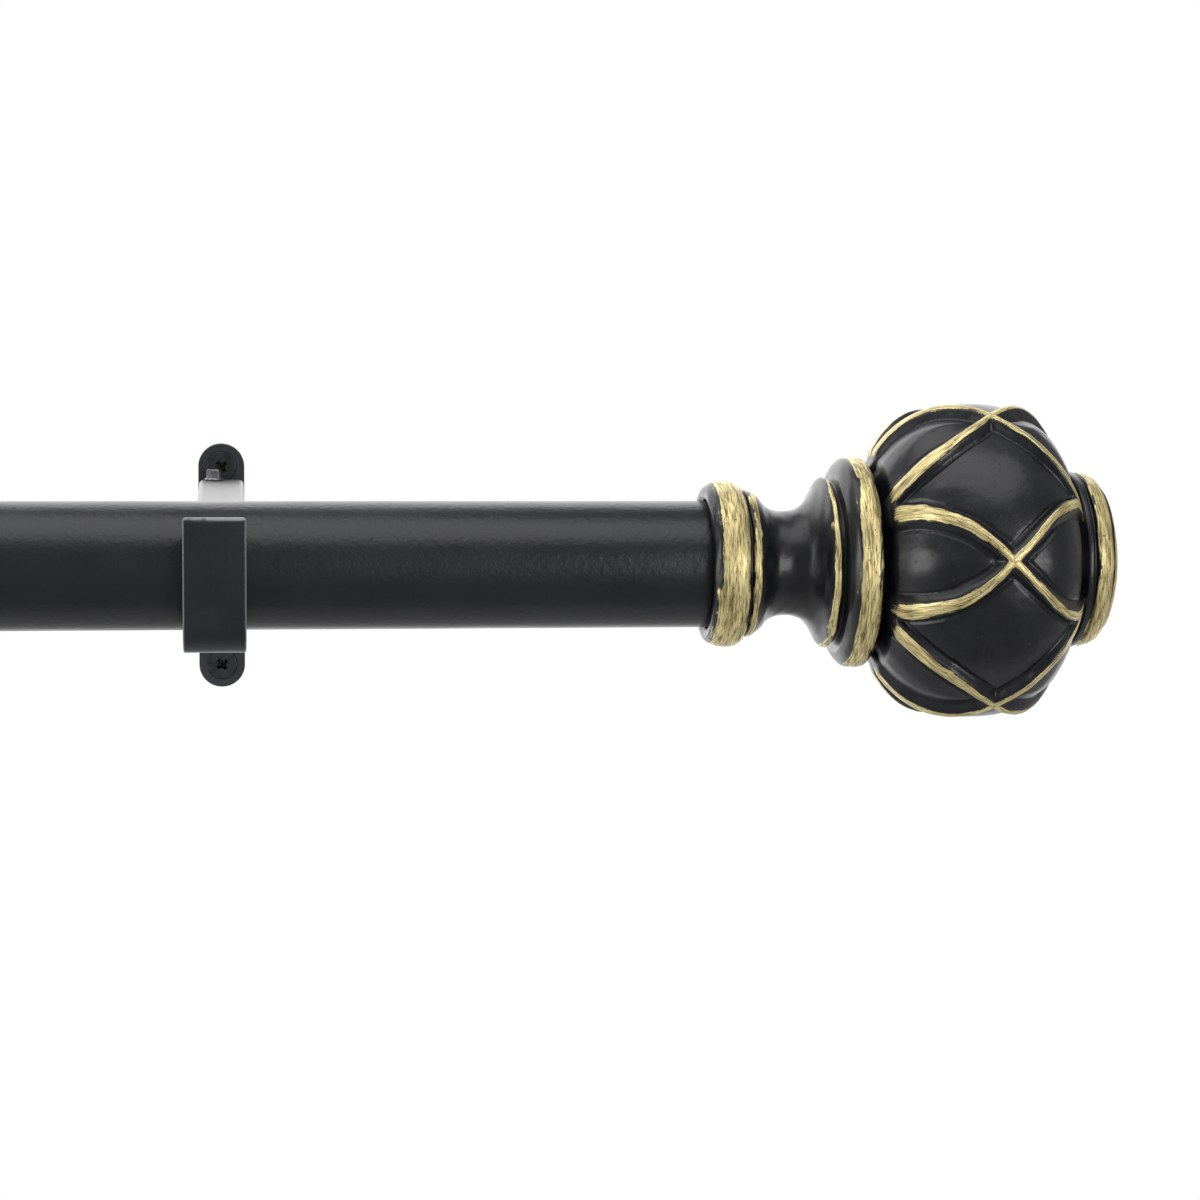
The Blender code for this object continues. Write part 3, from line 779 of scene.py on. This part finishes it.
# %% The section across a rib
CREST_DROP = 0.22
GROOVE_OFFSET = 0.15  # from the foot of the flank to the middle of the groove
GROOVE_HALF_WIDTH = 0.42
BALL_INSET = 0.12
FLANGE_GAP = (34.5, 35.3, 1.1, 0.0)  # where the ball sinks beside the flange, and by how much
TIP_GAP = (72.0, 72.7)
TIP_GAP_DEPTH = 1.2
GILT_THINS = (34.0, 36.2)


def nearest_rib(angle, winding, slope, radius, around, size):
    """How far the nearest rib is, the signed place across it, and whether it is a left-hand one."""
    wander = (noise(around, 0.16, 1.0) - 0.5) * (size["Hand"] * 3.0)
    left = rib_distance(angle, winding, slope, radius, size) + wander
    right = rib_distance(angle, winding * -1.0, slope, radius, size) - wander
    left_far = left.math("ABSOLUTE")
    right_far = right.math("ABSOLUTE")
    is_left = left_far.math("LESS_THAN", right_far)
    return left_far.math("MINIMUM", right_far), right + (left - right) * is_left, is_left


def rib_half_width(along, around, size):
    inward = (size["Crossing"] - along).ramp(0.0, 20.0)
    outward = (along - size["Crossing"]).ramp(0.0, 14.0)
    swell = (noise(around, 0.22, 2.0) - 0.5) * (size["Hand"] * 1.6)
    return size["Rib Half Width"] * (inward * 1.1 + (outward * 0.25 + 0.75)) + swell * 0.5


def panel_fullness(angle, along, winding, size):
    """How much of the bulge a panel has. Those between a crossing and the flange have the most."""
    step_off = (angle - size["First Crossing"]) * size["Ribs"] / (2 * pi)
    from_crossing = (step_off - step_off.math("ROUND")).math("ABSOLUTE")
    between = from_crossing.math("LESS_THAN", winding.math("ABSOLUTE") * 0.5)
    return between * ((size["Crossing"] - along).ramp(-1.0, 1.0) * 0.4 + 0.5) + 0.15


def carved_radius(radius, far, width, fuller, along, around, size):
    """The ball's radius after its crests, flanks, grooves, panels and end gaps are cut."""
    foot = width + size["Flank Width"]
    crest = (far / width).math("MINIMUM", 1.0) ** 2.0 * CREST_DROP
    flank = far.ramp(width, foot) * (size["Panel Depth"] - CREST_DROP)
    groove_off = (far - foot - GROOVE_OFFSET).math("ABSOLUTE") / GROOVE_HALF_WIDTH
    groove = (groove_off * -1.0 + 1.0).math("MAXIMUM", 0.0) * size["Groove Depth"]
    bulge = far.ramp(foot + 0.3, foot + 5.5) * size["Bulge"] * fuller
    lumps = (noise(around, 0.35, 2.0) - 0.5) * (size["Hand"] * 0.5)
    gaps = along.ramp(*FLANGE_GAP) + along.ramp(*TIP_GAP) * far.ramp(width, foot) * TIP_GAP_DEPTH
    return radius - (crest + flank + groove + gaps - bulge) + lumps - BALL_INSET


print("section rules ready")


# %% The lattice ball's tree
def build_ball_tree():
    tree, size = new_tree("lattice ball", BALL_INPUTS)
    grid = tree.nodes.new("GeometryNodeMeshGrid")
    counts = {"Vertices X": size["Columns"] + 1.0, "Vertices Y": size["Rows"]}
    fill(tree, grid, {"Size X": 1.0, "Size Y": 1.0, **counts})
    position = Field(tree, tree.nodes.new("GeometryNodeInputPosition").outputs[0])
    x, y, _ = parts_of(position)
    angle = (x + 0.5) * (2 * pi)
    share = y + 0.5
    turn = share * (END_ANGLE - START_ANGLE) + START_ANGLE
    along, radius = ball_spot(turn, size)
    along_next, radius_next = ball_spot(turn + 0.01, size)
    winding = rib_angle(along, size)
    run = ((along_next - along) ** 2.0 + (radius_next - radius) ** 2.0).math("SQRT")
    half_step = size["Ribs"].math("POWER", -1.0) * pi
    rise = (rib_angle(along_next, size) - winding) * half_step * radius / run
    slope = (rise * rise + 1.0).math("POWER", -0.5)

    around = vector_of(tree, along, angle.math("COSINE") * radius, angle.math("SINE") * radius)
    far, across, is_left = nearest_rib(angle, winding, slope, radius, around, size)
    width = rib_half_width(along, around, size)
    fuller = panel_fullness(angle, along, winding, size)
    sunk = carved_radius(radius, far, width, fuller, along, around, size)

    last = size["Rows"].math("POWER", -1.0) * 0.9
    closing = share.math("GREATER_THAN", last) * (share * -1.0 + 1.0).math("GREATER_THAN", last)
    sunk = sunk * closing
    sideways = sunk * angle.math("COSINE") * -MM
    place = vector_of(tree, along * MM, sideways, sunk * angle.math("SINE") * MM)
    ends = along.ramp(*GILT_THINS) * 0.8 + 0.2
    gilt = far.ramp(width * 0.55, width * 1.5, 1.0, 0.0) * 0.95 * ends
    stroke = vector_of(tree, across, along, is_left * 40.0)

    # the attributes are stored while the grid is still flat, because each field reads the position
    with_gilt = store(tree, grid.outputs["Mesh"], "gilt", "FLOAT", gilt)
    with_stroke = store(tree, with_gilt, "stroke", "FLOAT_VECTOR", stroke)
    shift = tree.nodes.new("GeometryNodeSetPosition")
    weld = tree.nodes.new("GeometryNodeMergeByDistance")
    smooth = tree.nodes.new("GeometryNodeSetShadeSmooth")
    weld.inputs["Distance"].default_value = 0.002 * MM
    plug(tree, place, shift.inputs["Position"])
    tree.links.new(with_stroke, shift.inputs["Geometry"])
    tree.links.new(shift.outputs[0], weld.inputs["Geometry"])
    tree.links.new(weld.outputs[0], smooth.inputs[0])
    finish_tree(tree, smooth.outputs[0], size["Material"])
    return tree


BALL_TREE = build_ball_tree()
print("ball tree nodes:", len(BALL_TREE.nodes))


# %% Both balls
def facing_out(mesh):
    """Turns every face of a closed mesh outwards."""
    shape = bmesh.new()
    shape.from_mesh(mesh)
    bmesh.ops.recalc_face_normals(shape, faces=shape.faces)
    open_edges = sum(1 for edge in shape.edges if len(edge.link_faces) != 2)
    shape.to_mesh(mesh)
    shape.free()
    print(f"{mesh.name}: {len(mesh.polygons)} faces, {open_edges} open edges")
    return mesh


for side in SIDES:
    mesh = facing_out(bake_tree(side + "_ball", BALL_TREE, BALL_INPUTS, GILDED_RESIN))
    put_on_finial(side, "ball", mesh)

# %% [markdown]
# ## The cradles
# Each cradle is one strip of flat steel, bent up behind the rod, under it and up in front. Real bending
# leaves round bends, and tumbling breaks every edge. So the strip's end corners are rounded, Solidify
# gives it a thickness, the front of its lip is eased back, and Bevel puts a small round on every edge.

# %% Cradle
ARM_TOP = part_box("right_arm")[1].z - AXIS.z
BEND = 3.2 * MM
LIP_CORNER = 0.7 * MM
ROD_GAP = 0.3 * MM
COAT = 0.3 * MM
STRIP_EDGE = 0.4 * MM
BEND_STEPS = 10
LIP_EASE = (
    (6.0 * MM, 0.0), (4.8 * MM, 0.04 * MM), (3.6 * MM, 0.16 * MM), (2.4 * MM, 0.38 * MM),
    (1.2 * MM, 0.72 * MM), (0.0, 1.2 * MM),
)  # below the lip's top, and how far its front is eased back there


def strip_path(inner, lip, back):
    """(depth, height) points on the inside of the bent strip, from behind the rod to the front lip."""
    corner = inner - BEND
    quarter = [radians(90 * i / BEND_STEPS) for i in range(BEND_STEPS + 1)]
    behind = [(corner + BEND * cos(a), -corner - BEND * sin(a)) for a in quarter]
    front = [(-corner - BEND * sin(a), -corner - BEND * cos(a)) for a in quarter]
    rise = [(-inner, lip - below) for below, _ in LIP_EASE]
    return [(inner, back), *behind, *front, *rise]


def cradle_mesh(side):
    low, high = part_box(side + "_cradle")
    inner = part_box("outer_tube")[1].z - AXIS.z + ROD_GAP
    thickness = (high.y - low.y) / 2 - inner + COAT
    path = strip_path(inner, high.z - AXIS.z, ARM_TOP)
    shape = bmesh.new()
    rows = [
        [shape.verts.new((x, depth + AXIS.y, up + AXIS.z)) for x in (low.x, high.x)]
        for depth, up in path
    ]
    for near, far in zip(rows, rows[1:]):
        shape.faces.new((near[0], far[0], far[1], near[1]))
    for row in (rows[0], rows[-1]):
        bmesh.ops.bevel(shape, geom=row, offset=LIP_CORNER, segments=6, profile=0.5, affect="VERTICES")
    bmesh.ops.recalc_face_normals(shape, faces=shape.faces)
    shape.faces.ensure_lookup_table()
    lowest = min(shape.faces, key=lambda face: face.calc_center_median().z)
    if lowest.normal.z > 0:
        bmesh.ops.reverse_faces(shape, faces=shape.faces)
    walls = {"thickness": thickness, "offset": 1, "use_even_offset": True}
    made = finished(written_out(shape, side + "_cradle"), [("SOLIDIFY", walls)])
    belows, eases = zip(*LIP_EASE[::-1])
    for vert in made.vertices:
        if vert.co.y < AXIS.y - inner - thickness / 2:
            vert.co.y += float(np.interp(high.z - vert.co.z, belows, eases))
    made = finished(made, [rounded_edges(STRIP_EDGE, 3, 50)])
    # The strip's sides and the top of its lip are marked for a painted highlight, a pale grey in the bracket
    # paint along its rounded edges.
    places = np.array([vert.co[:] for vert in made.vertices])
    from_side = np.minimum(places[:, 0] - low.x, high.x - places[:, 0])
    rubbed_gold_and_edge_highlight = np.clip(1 - from_side / STRIP_EDGE, 0, 1)
    rubbed_gold_and_edge_highlight[places[:, 2] > high.z - STRIP_EDGE] = 1.0
    made.attributes.new("worn", "FLOAT", "POINT").data.foreach_set("value", rubbed_gold_and_edge_highlight)
    return made


def rounded_edges(width, segments, sharper_than):
    limit = {"limit_method": "ANGLE", "angle_limit": radians(sharper_than)}
    return ("BEVEL", {"width": width, "segments": segments, **limit})


SHARP = radians(35)


def finished(mesh, modifiers, helpers=()):
    """A mesh with modifiers applied, from a list of (type, settings). Helper objects are removed."""
    maker = scene_object(mesh.name + "_maker", mesh)
    for kind, settings in modifiers:
        modifier = maker.modifiers.new(kind.title(), kind)
        for key, value in settings.items():
            setattr(modifier, key, value)
    made = joined_up(taken_off(maker))
    for helper in helpers:
        bpy.data.objects.remove(helper, do_unlink=True)
    made.shade_smooth()
    made.set_sharp_from_angle(angle=SHARP)
    return flat_faces_flat(facing_out(made))


def joined_up(mesh):
    """Merges points that a cut or a bevel left on one spot, and drops the faces that had no width."""
    shape = bmesh.new()
    shape.from_mesh(mesh)
    bmesh.ops.remove_doubles(shape, verts=shape.verts, dist=CLOSEST * MM)
    bmesh.ops.dissolve_degenerate(shape, edges=shape.edges, dist=CLOSEST * MM)
    shape.to_mesh(mesh)
    shape.free()
    return mesh


def flat_faces_flat(mesh):
    """Leans each normal towards the largest face it touches, so that wide flats shade flat."""
    maker = scene_object(mesh.name + "_maker", mesh)
    modifier = maker.modifiers.new("Weights", "WEIGHTED_NORMAL")
    modifier.weight = 100
    modifier.keep_sharp = True
    return taken_off(maker)


for side in SIDES:
    mesh = cradle_mesh(side)
    put(side + "_cradle_fine", mesh, BRACKET_PAINT, side + "_arm", [side + "_cradle"])

# %% [markdown]
# ## The arms
# An arm is a square tube of rolled steel: rounded outside corners, a hollow middle and a sawn end that
# has been dressed with a file. It is an outline with rounded corners carried along the arm, once for
# the outside and once for the inside, joined at both ends.

# %% Arm
ARM_WALL = 1.0 * MM
ARM_CORNER = 1.1 * MM
ARM_BORE_CORNER = 0.3 * MM
ARM_EASE = 0.25 * MM  # filed off the outside edge of each end
CORNER_STEPS = 6


def rounded_rectangle(width, height, corner):
    """(x, z) points round a rectangle about the origin."""
    points = []
    for turn, (across, up) in enumerate(((1, 1), (-1, 1), (-1, -1), (1, -1))):
        for i in range(CORNER_STEPS + 1):
            angle = radians(90 * (turn + i / CORNER_STEPS))
            points.append((
                across * (width / 2 - corner) + corner * cos(angle),
                up * (height / 2 - corner) + corner * sin(angle),
            ))
    return points


def arm_mesh(side):
    low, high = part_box(side + "_arm")
    middle = (low + high) / 2
    width, height = high.x - low.x, high.z - low.z
    outside = rounded_rectangle(width, height, ARM_CORNER)
    eased = rounded_rectangle(width - 2 * ARM_EASE, height - 2 * ARM_EASE, ARM_CORNER - ARM_EASE)
    inside = rounded_rectangle(width - 2 * ARM_WALL, height - 2 * ARM_WALL, ARM_BORE_CORNER)
    loops = [
        (inside, low.y), (eased, low.y), (outside, low.y + ARM_EASE),
        (outside, high.y - ARM_EASE), (eased, high.y), (inside, high.y),
    ]
    shape = bmesh.new()
    rings = [
        [shape.verts.new((middle.x + across, y, middle.z + up)) for across, up in points]
        for points, y in loops
    ]
    skin(shape, rings, len(outside), closed=True)
    mesh = facing_out(written_out(shape, side + "_arm"))
    mesh.shade_smooth()
    mesh.set_sharp_from_angle(angle=SHARP)
    return flat_faces_flat(mesh)


for side in SIDES:
    put(side + "_arm_fine", arm_mesh(side), ARM_ENAMEL, side + "_arm", [side + "_arm"])

# %% [markdown]
# ## The wall plates
# A long oval pressed from strip, with a countersunk hole near each end. The oval is extruded, the
# holes are cut by turned cutters, and the Bevel rounds the face as the press tool does.

# %% Wall plate
PLATE_EDGE = 0.45 * MM
END_STEPS = 28
HOLE_MOUTH = 3.47  # radii in millimetres
HOLE_RADIUS = 2.05
HOLE_RIM = 0.15  # straight part of the mouth before it tapers
CUTTER_STAND = 1.0  # how far a cutter stands out of the plate on either side
HOLE_COLUMNS = 48


def boolean(cutter, operation="DIFFERENCE"):
    return ("BOOLEAN", {"object": cutter, "operation": operation, "solver": "EXACT"})


def oval_mesh(name, low, high):
    """A solid long oval that fills a box, its face along Y."""
    middle = (low + high) / 2
    radius = (high.x - low.x) / 2
    reach = (high.z - low.z) / 2 - radius
    angles = [pi * i / END_STEPS for i in range(END_STEPS + 1)]
    points = [(radius * cos(a), reach + radius * sin(a)) for a in angles]
    points += [(-across, -up) for across, up in points]
    shape = bmesh.new()
    verts = [shape.verts.new((middle.x + across, low.y, middle.z + up)) for across, up in points]
    made = bmesh.ops.extrude_face_region(shape, geom=[shape.faces.new(verts)])
    moved = [item for item in made["geom"] if isinstance(item, bmesh.types.BMVert)]
    bmesh.ops.translate(shape, vec=(0, high.y - low.y, 0), verts=moved)
    bmesh.ops.recalc_face_normals(shape, faces=shape.faces)
    return written_out(shape, name)


def countersink(node, plate_low, plate_high):
    """A turned cutter for a screw hole, a hair wider than the screw."""
    middle = box_middle(node)
    thick = (plate_high.y - plate_low.y) / MM
    corners = [
        (-CUTTER_STAND, 0.0), (-CUTTER_STAND, HOLE_MOUTH), (HOLE_RIM, HOLE_MOUTH),
        (HOLE_RIM + HOLE_MOUTH - HOLE_RADIUS, HOLE_RADIUS), (thick + CUTTER_STAND, HOLE_RADIUS),
        (thick + CUTTER_STAND, 0.0),
    ]
    corners = [(along, out, 0, 0.0) for along, out in corners]
    mesh = turned_mesh("countersink", corners, HOLE_COLUMNS)
    mesh.transform(Matrix.Translation((middle.x, plate_low.y, middle.z)) @ Matrix.Rotation(pi / 2, 4, "Z"))
    return scene_object("countersink", mesh)


for side in SIDES:
    low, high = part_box(side + "_wall_plate")
    cutters = [countersink(f"{side}_{level}_wall_screw", low, high) for level in ("upper", "lower")]
    steps = [*map(boolean, cutters), rounded_edges(PLATE_EDGE, 3, 35)]
    mesh = finished(oval_mesh(side + "_wall_plate", low, high), steps, cutters)
    put(side + "_wall_plate_fine", mesh, PLATE_PAINT_WITH_PAINTED_LIGHT, "wall_plates", [side + "_wall_plate"])

# %% [markdown]
# ## The screws
# Four cross-head wood screws hold the plates and two small flanged hexagon screws clamp the arms. A
# screw is a head, a shank and a thread, and a thread is a small ridge carried round a helix, which
# Geometry Nodes draws as a curve with a three-sided section. One tree puts a finished head and its
# thread on every point it is given, so all four wall screws come from one bake.

# %% Screw tree
SCREW_INPUTS = {
    "Shank Radius": 1.3 * MM,
    "Shank Length": 27 * MM,
    "Shank Start": 2.0 * MM,
    "Thread Pitch": 1.35 * MM,
    "Thread Depth": 0.45 * MM,
    "Tilt": radians(90),
}


def build_screw_tree(name, head):
    """Screws along local -Z whose heads are a given object's mesh, on every point."""
    tree, size = new_tree(name, SCREW_INPUTS)
    spiral = tree.nodes.new("GeometryNodeCurveSpiral")
    turns = size["Shank Length"] / size["Thread Pitch"]
    fill(tree, spiral, {
        "Resolution": 20,
        "Rotations": turns,
        "Start Radius": size["Shank Radius"],
        "End Radius": size["Shank Radius"] * 0.75,
        "Height": size["Shank Length"],
    })
    section = tree.nodes.new("GeometryNodeCurvePrimitiveCircle")
    fill(tree, section, {"Resolution": 3, "Radius": size["Thread Depth"]})
    sweep = tree.nodes.new("GeometryNodeCurveToMesh")
    sweep.inputs["Fill Caps"].default_value = True
    tree.links.new(spiral.outputs[0], sweep.inputs["Curve"])
    tree.links.new(section.outputs[0], sweep.inputs["Profile Curve"])
    flip = tree.nodes.new("GeometryNodeTransform")
    start = vector_of(tree, 0.0, 0.0, size["Shank Start"] * -1.0)
    fill(tree, flip, {"Rotation": (pi, 0, 0), "Translation": start})
    tree.links.new(sweep.outputs[0], flip.inputs["Geometry"])
    info = tree.nodes.new("GeometryNodeObjectInfo")
    info.inputs["Object"].default_value = head
    join = tree.nodes.new("GeometryNodeJoinGeometry")
    tree.links.new(flip.outputs[0], join.inputs[0])
    tree.links.new(info.outputs["Geometry"], join.inputs[0])
    scatter = tree.nodes.new("GeometryNodeInstanceOnPoints")
    tree.links.new(size["Geometry"].socket, scatter.inputs["Points"])
    tree.links.new(join.outputs[0], scatter.inputs["Instance"])
    plug(tree, vector_of(tree, size["Tilt"], 0.0, 0.0), scatter.inputs["Rotation"])
    finish_tree(tree, scatter.outputs[0], size["Material"])
    return tree


print("screw inputs:", sorted(SCREW_INPUTS))


# %% [markdown]
# The wall screw's head is countersunk, slightly raised, with a cross recess that tapers as the driver
# does. The clamp screw has a round flange under a hexagon whose top corners are chamfered.


# %% Heads
HEAD_COLUMNS = 40
PIT_COLUMNS = 24
CROSS_SPAN = 3.9 * MM
CROSS_WIDTH = 1.0 * MM
CROSS_DEPTH = 1.6 * MM
CROSS_TURN = 38  # degrees
CROSS_TAPER = 0.45
HEX_SIDES = 6
HEX_TURN = 0.2  # of a side
HEX_EDGE = 0.08 * MM


def cross_cutter(span, width, depth, turn):
    """One wedge of a cross recess, narrower at its bottom."""
    shape = bmesh.new()
    bmesh.ops.create_cube(shape, size=1.0)
    for vert in shape.verts:
        x, y, z = vert.co
        narrow = CROSS_TAPER if z < 0 else 1.0
        vert.co = Vector((x * span * narrow, y * width * (0.6 + 0.4 * narrow), z * 2 * depth))
    bmesh.ops.rotate(shape, verts=shape.verts, matrix=Matrix.Rotation(turn, 3, "Z"))
    return scene_object("cross", written_out(shape, "cross"))


def upright(mesh):
    """Turns a mesh turned about X so that its axis points up."""
    mesh.transform(Matrix.Rotation(-pi / 2, 4, "Y"))
    return mesh


def wall_screw_head():
    corners = [
        (-29.5, 0.0, 0, 0), (-27.0, 1.0, 0.3, 0), (-2.2, 1.35, 0.3, 0), (-1.7, 1.7, 0.2, 0),
        (-0.12, 3.42, 0.12, 0), (0.0, 3.3, 0.1, 0), (0.0, 0.0, 0, 0),
    ]
    blank = upright(turned_mesh("wall_screw_head", corners, HEAD_COLUMNS))
    turns = [radians(CROSS_TURN + quarter) for quarter in (0, 90)]
    cutters = [cross_cutter(CROSS_SPAN, CROSS_WIDTH, CROSS_DEPTH, turn) for turn in turns]
    cone = [(-2.6, 0.0, 0, 0), (0.3, 1.05, 0, 0), (0.3, 0.0, 0, 0)]
    cutters.append(scene_object("pit", upright(turned_mesh("pit", cone, PIT_COLUMNS))))
    mesh = finished(blank, [*map(boolean, cutters)], cutters)
    return scene_object("wall_screw_head", mesh)


def clamp_screw_head():
    """A turned flange and shank under a hexagon with chamfered corners and a dished top."""
    corners = [
        (-1.3, 0.0, 0, 0), (-1.3, 1.0, 0.1, 0), (0.0, 1.2, 0.1, 0), (0.0, 2.0, 0.1, 0),
        (0.25, 2.1, 0.1, 0), (0.7, 1.7, 0.1, 0), (0.7, 0.0, 0, 0),
    ]
    blank = upright(turned_mesh("clamp_screw_head", corners, HEAD_COLUMNS))
    rings = ((0.3, 0.0), (0.3, 1.75), (2.2, 1.72), (2.55, 1.45), (2.35, 1.1), (2.3, 0.0))
    shape = bmesh.new()
    grid = []
    for up, radius in rings:
        angles = [2 * pi * (i + HEX_TURN) / HEX_SIDES for i in range(HEX_SIDES if radius else 1)]
        places = [(radius * MM * cos(a), radius * MM * sin(a), up * MM) for a in angles]
        grid.append([shape.verts.new(place) for place in places])
    skin(shape, grid, HEX_SIDES)
    bmesh.ops.recalc_face_normals(shape, faces=shape.faces)
    hexagon = scene_object("hexagon", written_out(shape, "hexagon"))
    steps = [boolean(hexagon, "UNION"), rounded_edges(HEX_EDGE, 2, 30)]
    return scene_object("clamp_screw_head", finished(blank, steps, [hexagon]))


WALL_HEAD = wall_screw_head()
CLAMP_HEAD = clamp_screw_head()

# %% All the screws
WALL_SCREWS = [f"{side}_{level}_wall_screw" for side in SIDES for level in ("upper", "lower")]


def screw_face(node):
    """The middle of a wall screw's head, on its outer face."""
    low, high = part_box(node)
    return Vector(((low.x + high.x) / 2, low.y, (low.z + high.z) / 2))


mesh = bake_tree(
    "wall_screws", build_screw_tree("wall screws", WALL_HEAD), SCREW_INPUTS, BLACK_OXIDE,
    [screw_face(node) for node in WALL_SCREWS],
)
put("wall_screws_fine", mesh, BLACK_OXIDE, "wall_plates", WALL_SCREWS)

CLAMP_HEAD_HEIGHT = 2.6 * MM
CLAMP_NUMBERS = {
    "Shank Radius": 1.0 * MM,
    "Shank Length": 0.9 * MM,
    "Shank Start": 0.2 * MM,
    "Thread Pitch": 0.4 * MM,
    "Thread Depth": 0.15 * MM,
    "Tilt": 0.0,
}
clamp_tree = build_screw_tree("clamp screw", CLAMP_HEAD)
for side in SIDES:
    low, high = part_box(side + "_lock_screw")
    seat = Vector(((low.x + high.x) / 2, (low.y + high.y) / 2, high.z - CLAMP_HEAD_HEIGHT))
    mesh = bake_tree(side + "_clamp_screw", clamp_tree, CLAMP_NUMBERS, ZINC, [seat])
    put(side + "_clamp_screw_fine", mesh, ZINC, side + "_lock", [side + "_lock_screw"])
for helper in (WALL_HEAD, CLAMP_HEAD):
    bpy.data.objects.remove(helper, do_unlink=True)

# %% [markdown]
# ## Pieces kept from the frame
# The posts inside the arms, the nylon spigots and sleeves and the screws behind the spigots already
# have the right shape, so they keep it and get their finish.

# %% Finishes on the frame's own pieces
KEPT = (
    (NYLON, ("mouth_sleeve", "guide_bush", "right_spigot", "left_spigot")),
    (ZINC, ("right_spigot_screw", "left_spigot_screw")),
    (BRACKET_PAINT, ("right_post", "left_post")),
)
for finish, nodes in KEPT:
    for node in nodes:
        for material_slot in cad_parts[node].material_slots:
            material_slot.link = "OBJECT"
            material_slot.material = finish
print("kept pieces:", sum(len(nodes) for _, nodes in KEPT))

# %% [markdown]
# ## Floor and light
# The rod hangs well above a pale floor. A wide soft lamp overhead makes the pale band along the top of
# the rod, a large panel behind gives its bright grazing edges, a low one behind lights its underside,
# and two smaller ones stand to the left and right. The room is dim, which keeps the black paint black.
# Only the camera sees a white background: what the paint and metal reflect is the dim room.

# %% Floor
FLOOR_DEPTH = 0.36
FLOOR_SIDE = 3.0
FLOOR_FRONT = -0.20
ROD_MIDDLE = (CAD_BOX[0] + CAD_BOX[1]) / 2
FADE_REACH = Vector((0.9, 0.25))
FLOOR_LIFT = 0.62
FLOOR_COLOUR = (0.5, 0.5, 0.5, 1.0)
FADE = (0.3, 0.95)  # where the fade to white starts and ends, as shares of its reach


def floor_finish():
    """Pale paint that keeps the shadow under the rod and fades to plain white further out."""
    made, shader, place = new_finish("pale_floor")
    tree = made.node_tree
    fill(tree, shader, {"Base Color": FLOOR_COLOUR, "Roughness": 0.9, "Specular IOR Level": 0.1})
    x, y, _ = parts_of(place)
    off_x = (x - ROD_MIDDLE.x) / FADE_REACH.x
    off_y = (y - ROD_MIDDLE.y) / FADE_REACH.y
    fade = (off_x * off_x + off_y * off_y).math("SQRT").ramp(*FADE)
    path = tree.nodes.new("ShaderNodeLightPath")
    seen = Field(tree, path.outputs["Is Camera Ray"])
    glow = tree.nodes.new("ShaderNodeEmission")
    lift = tree.nodes.new("ShaderNodeEmission")
    near = tree.nodes.new("ShaderNodeAddShader")
    mix = tree.nodes.new("ShaderNodeMixShader")
    plug(tree, seen * FLOOR_LIFT, lift.inputs["Strength"])
    plug(tree, seen * fade, mix.inputs[0])
    tree.links.new(shader.outputs[0], near.inputs[0])
    tree.links.new(lift.outputs[0], near.inputs[1])
    tree.links.new(near.outputs[0], mix.inputs[1])
    tree.links.new(glow.outputs[0], mix.inputs[2])
    tree.links.new(mix.outputs[0], tree.nodes["Material Output"].inputs["Surface"])
    return made


floor_mesh = bpy.data.meshes.new("floor")
front, back = FLOOR_FRONT, FLOOR_SIDE
corners = [(-FLOOR_SIDE, front), (FLOOR_SIDE, front), (FLOOR_SIDE, back), (-FLOOR_SIDE, back)]
floor_mesh.from_pydata([(x, y, -FLOOR_DEPTH) for x, y in corners], [], [(0, 1, 2, 3)])
floor_mesh.materials.append(floor_finish())
floor = scene_object("floor", floor_mesh)
print("floor at", -FLOOR_DEPTH)

# %% World and lamps
ROOM_LIGHT = 0.32
world = bpy.data.worlds.new("studio")
bpy.context.scene.world = world
world.use_nodes = True
tree = world.node_tree
tree.nodes.clear()
path = tree.nodes.new("ShaderNodeLightPath")
mix = tree.nodes.new("ShaderNodeMixShader")
out = tree.nodes.new("ShaderNodeOutputWorld")
for slot, strength in ((1, ROOM_LIGHT), (2, 1.0)):
    background = tree.nodes.new("ShaderNodeBackground")
    fill(tree, background, {"Color": (1, 1, 1, 1), "Strength": strength})
    tree.links.new(background.outputs[0], mix.inputs[slot])
tree.links.new(path.outputs["Is Camera Ray"], mix.inputs[0])
tree.links.new(mix.outputs[0], out.inputs[0])

LAMPS = {
    "overhead": ((-0.1, -0.25, 1.1), (0.0, -0.1, 0.0), (1.8, 0.9), 9.0),
    "behind": ((-0.2, 1.3, 0.36), (-0.1, -0.1, 0.1), (2.6, 2.1), 30.0),
    "below": ((-0.2, 0.4, -0.36), (-0.2, -0.1, 0.0), (2.2, 0.6), 4.0),
    "left": ((-1.15, -0.42, 0.12), (0.1, -0.1, 0.0), (0.6, 0.85), 6.4),
    "right": ((0.80, -1.05, 0.12), (0.1, -0.1, 0.0), (0.45, 0.65), 5.2),
}
for name, (place, target, size, power) in LAMPS.items():
    data = bpy.data.lights.new(name, "AREA")
    data.shape = "RECTANGLE"
    data.size, data.size_y = size
    data.energy = power
    lamp = scene_object(name, data)
    lamp.location = place
    lamp.rotation_euler = (Vector(target) - Vector(place)).to_track_quat("-Z", "Y").to_euler()
    lamp.visible_camera = False
bpy.context.scene.view_settings.view_transform = "Standard"
print("lamps:", ", ".join(LAMPS))
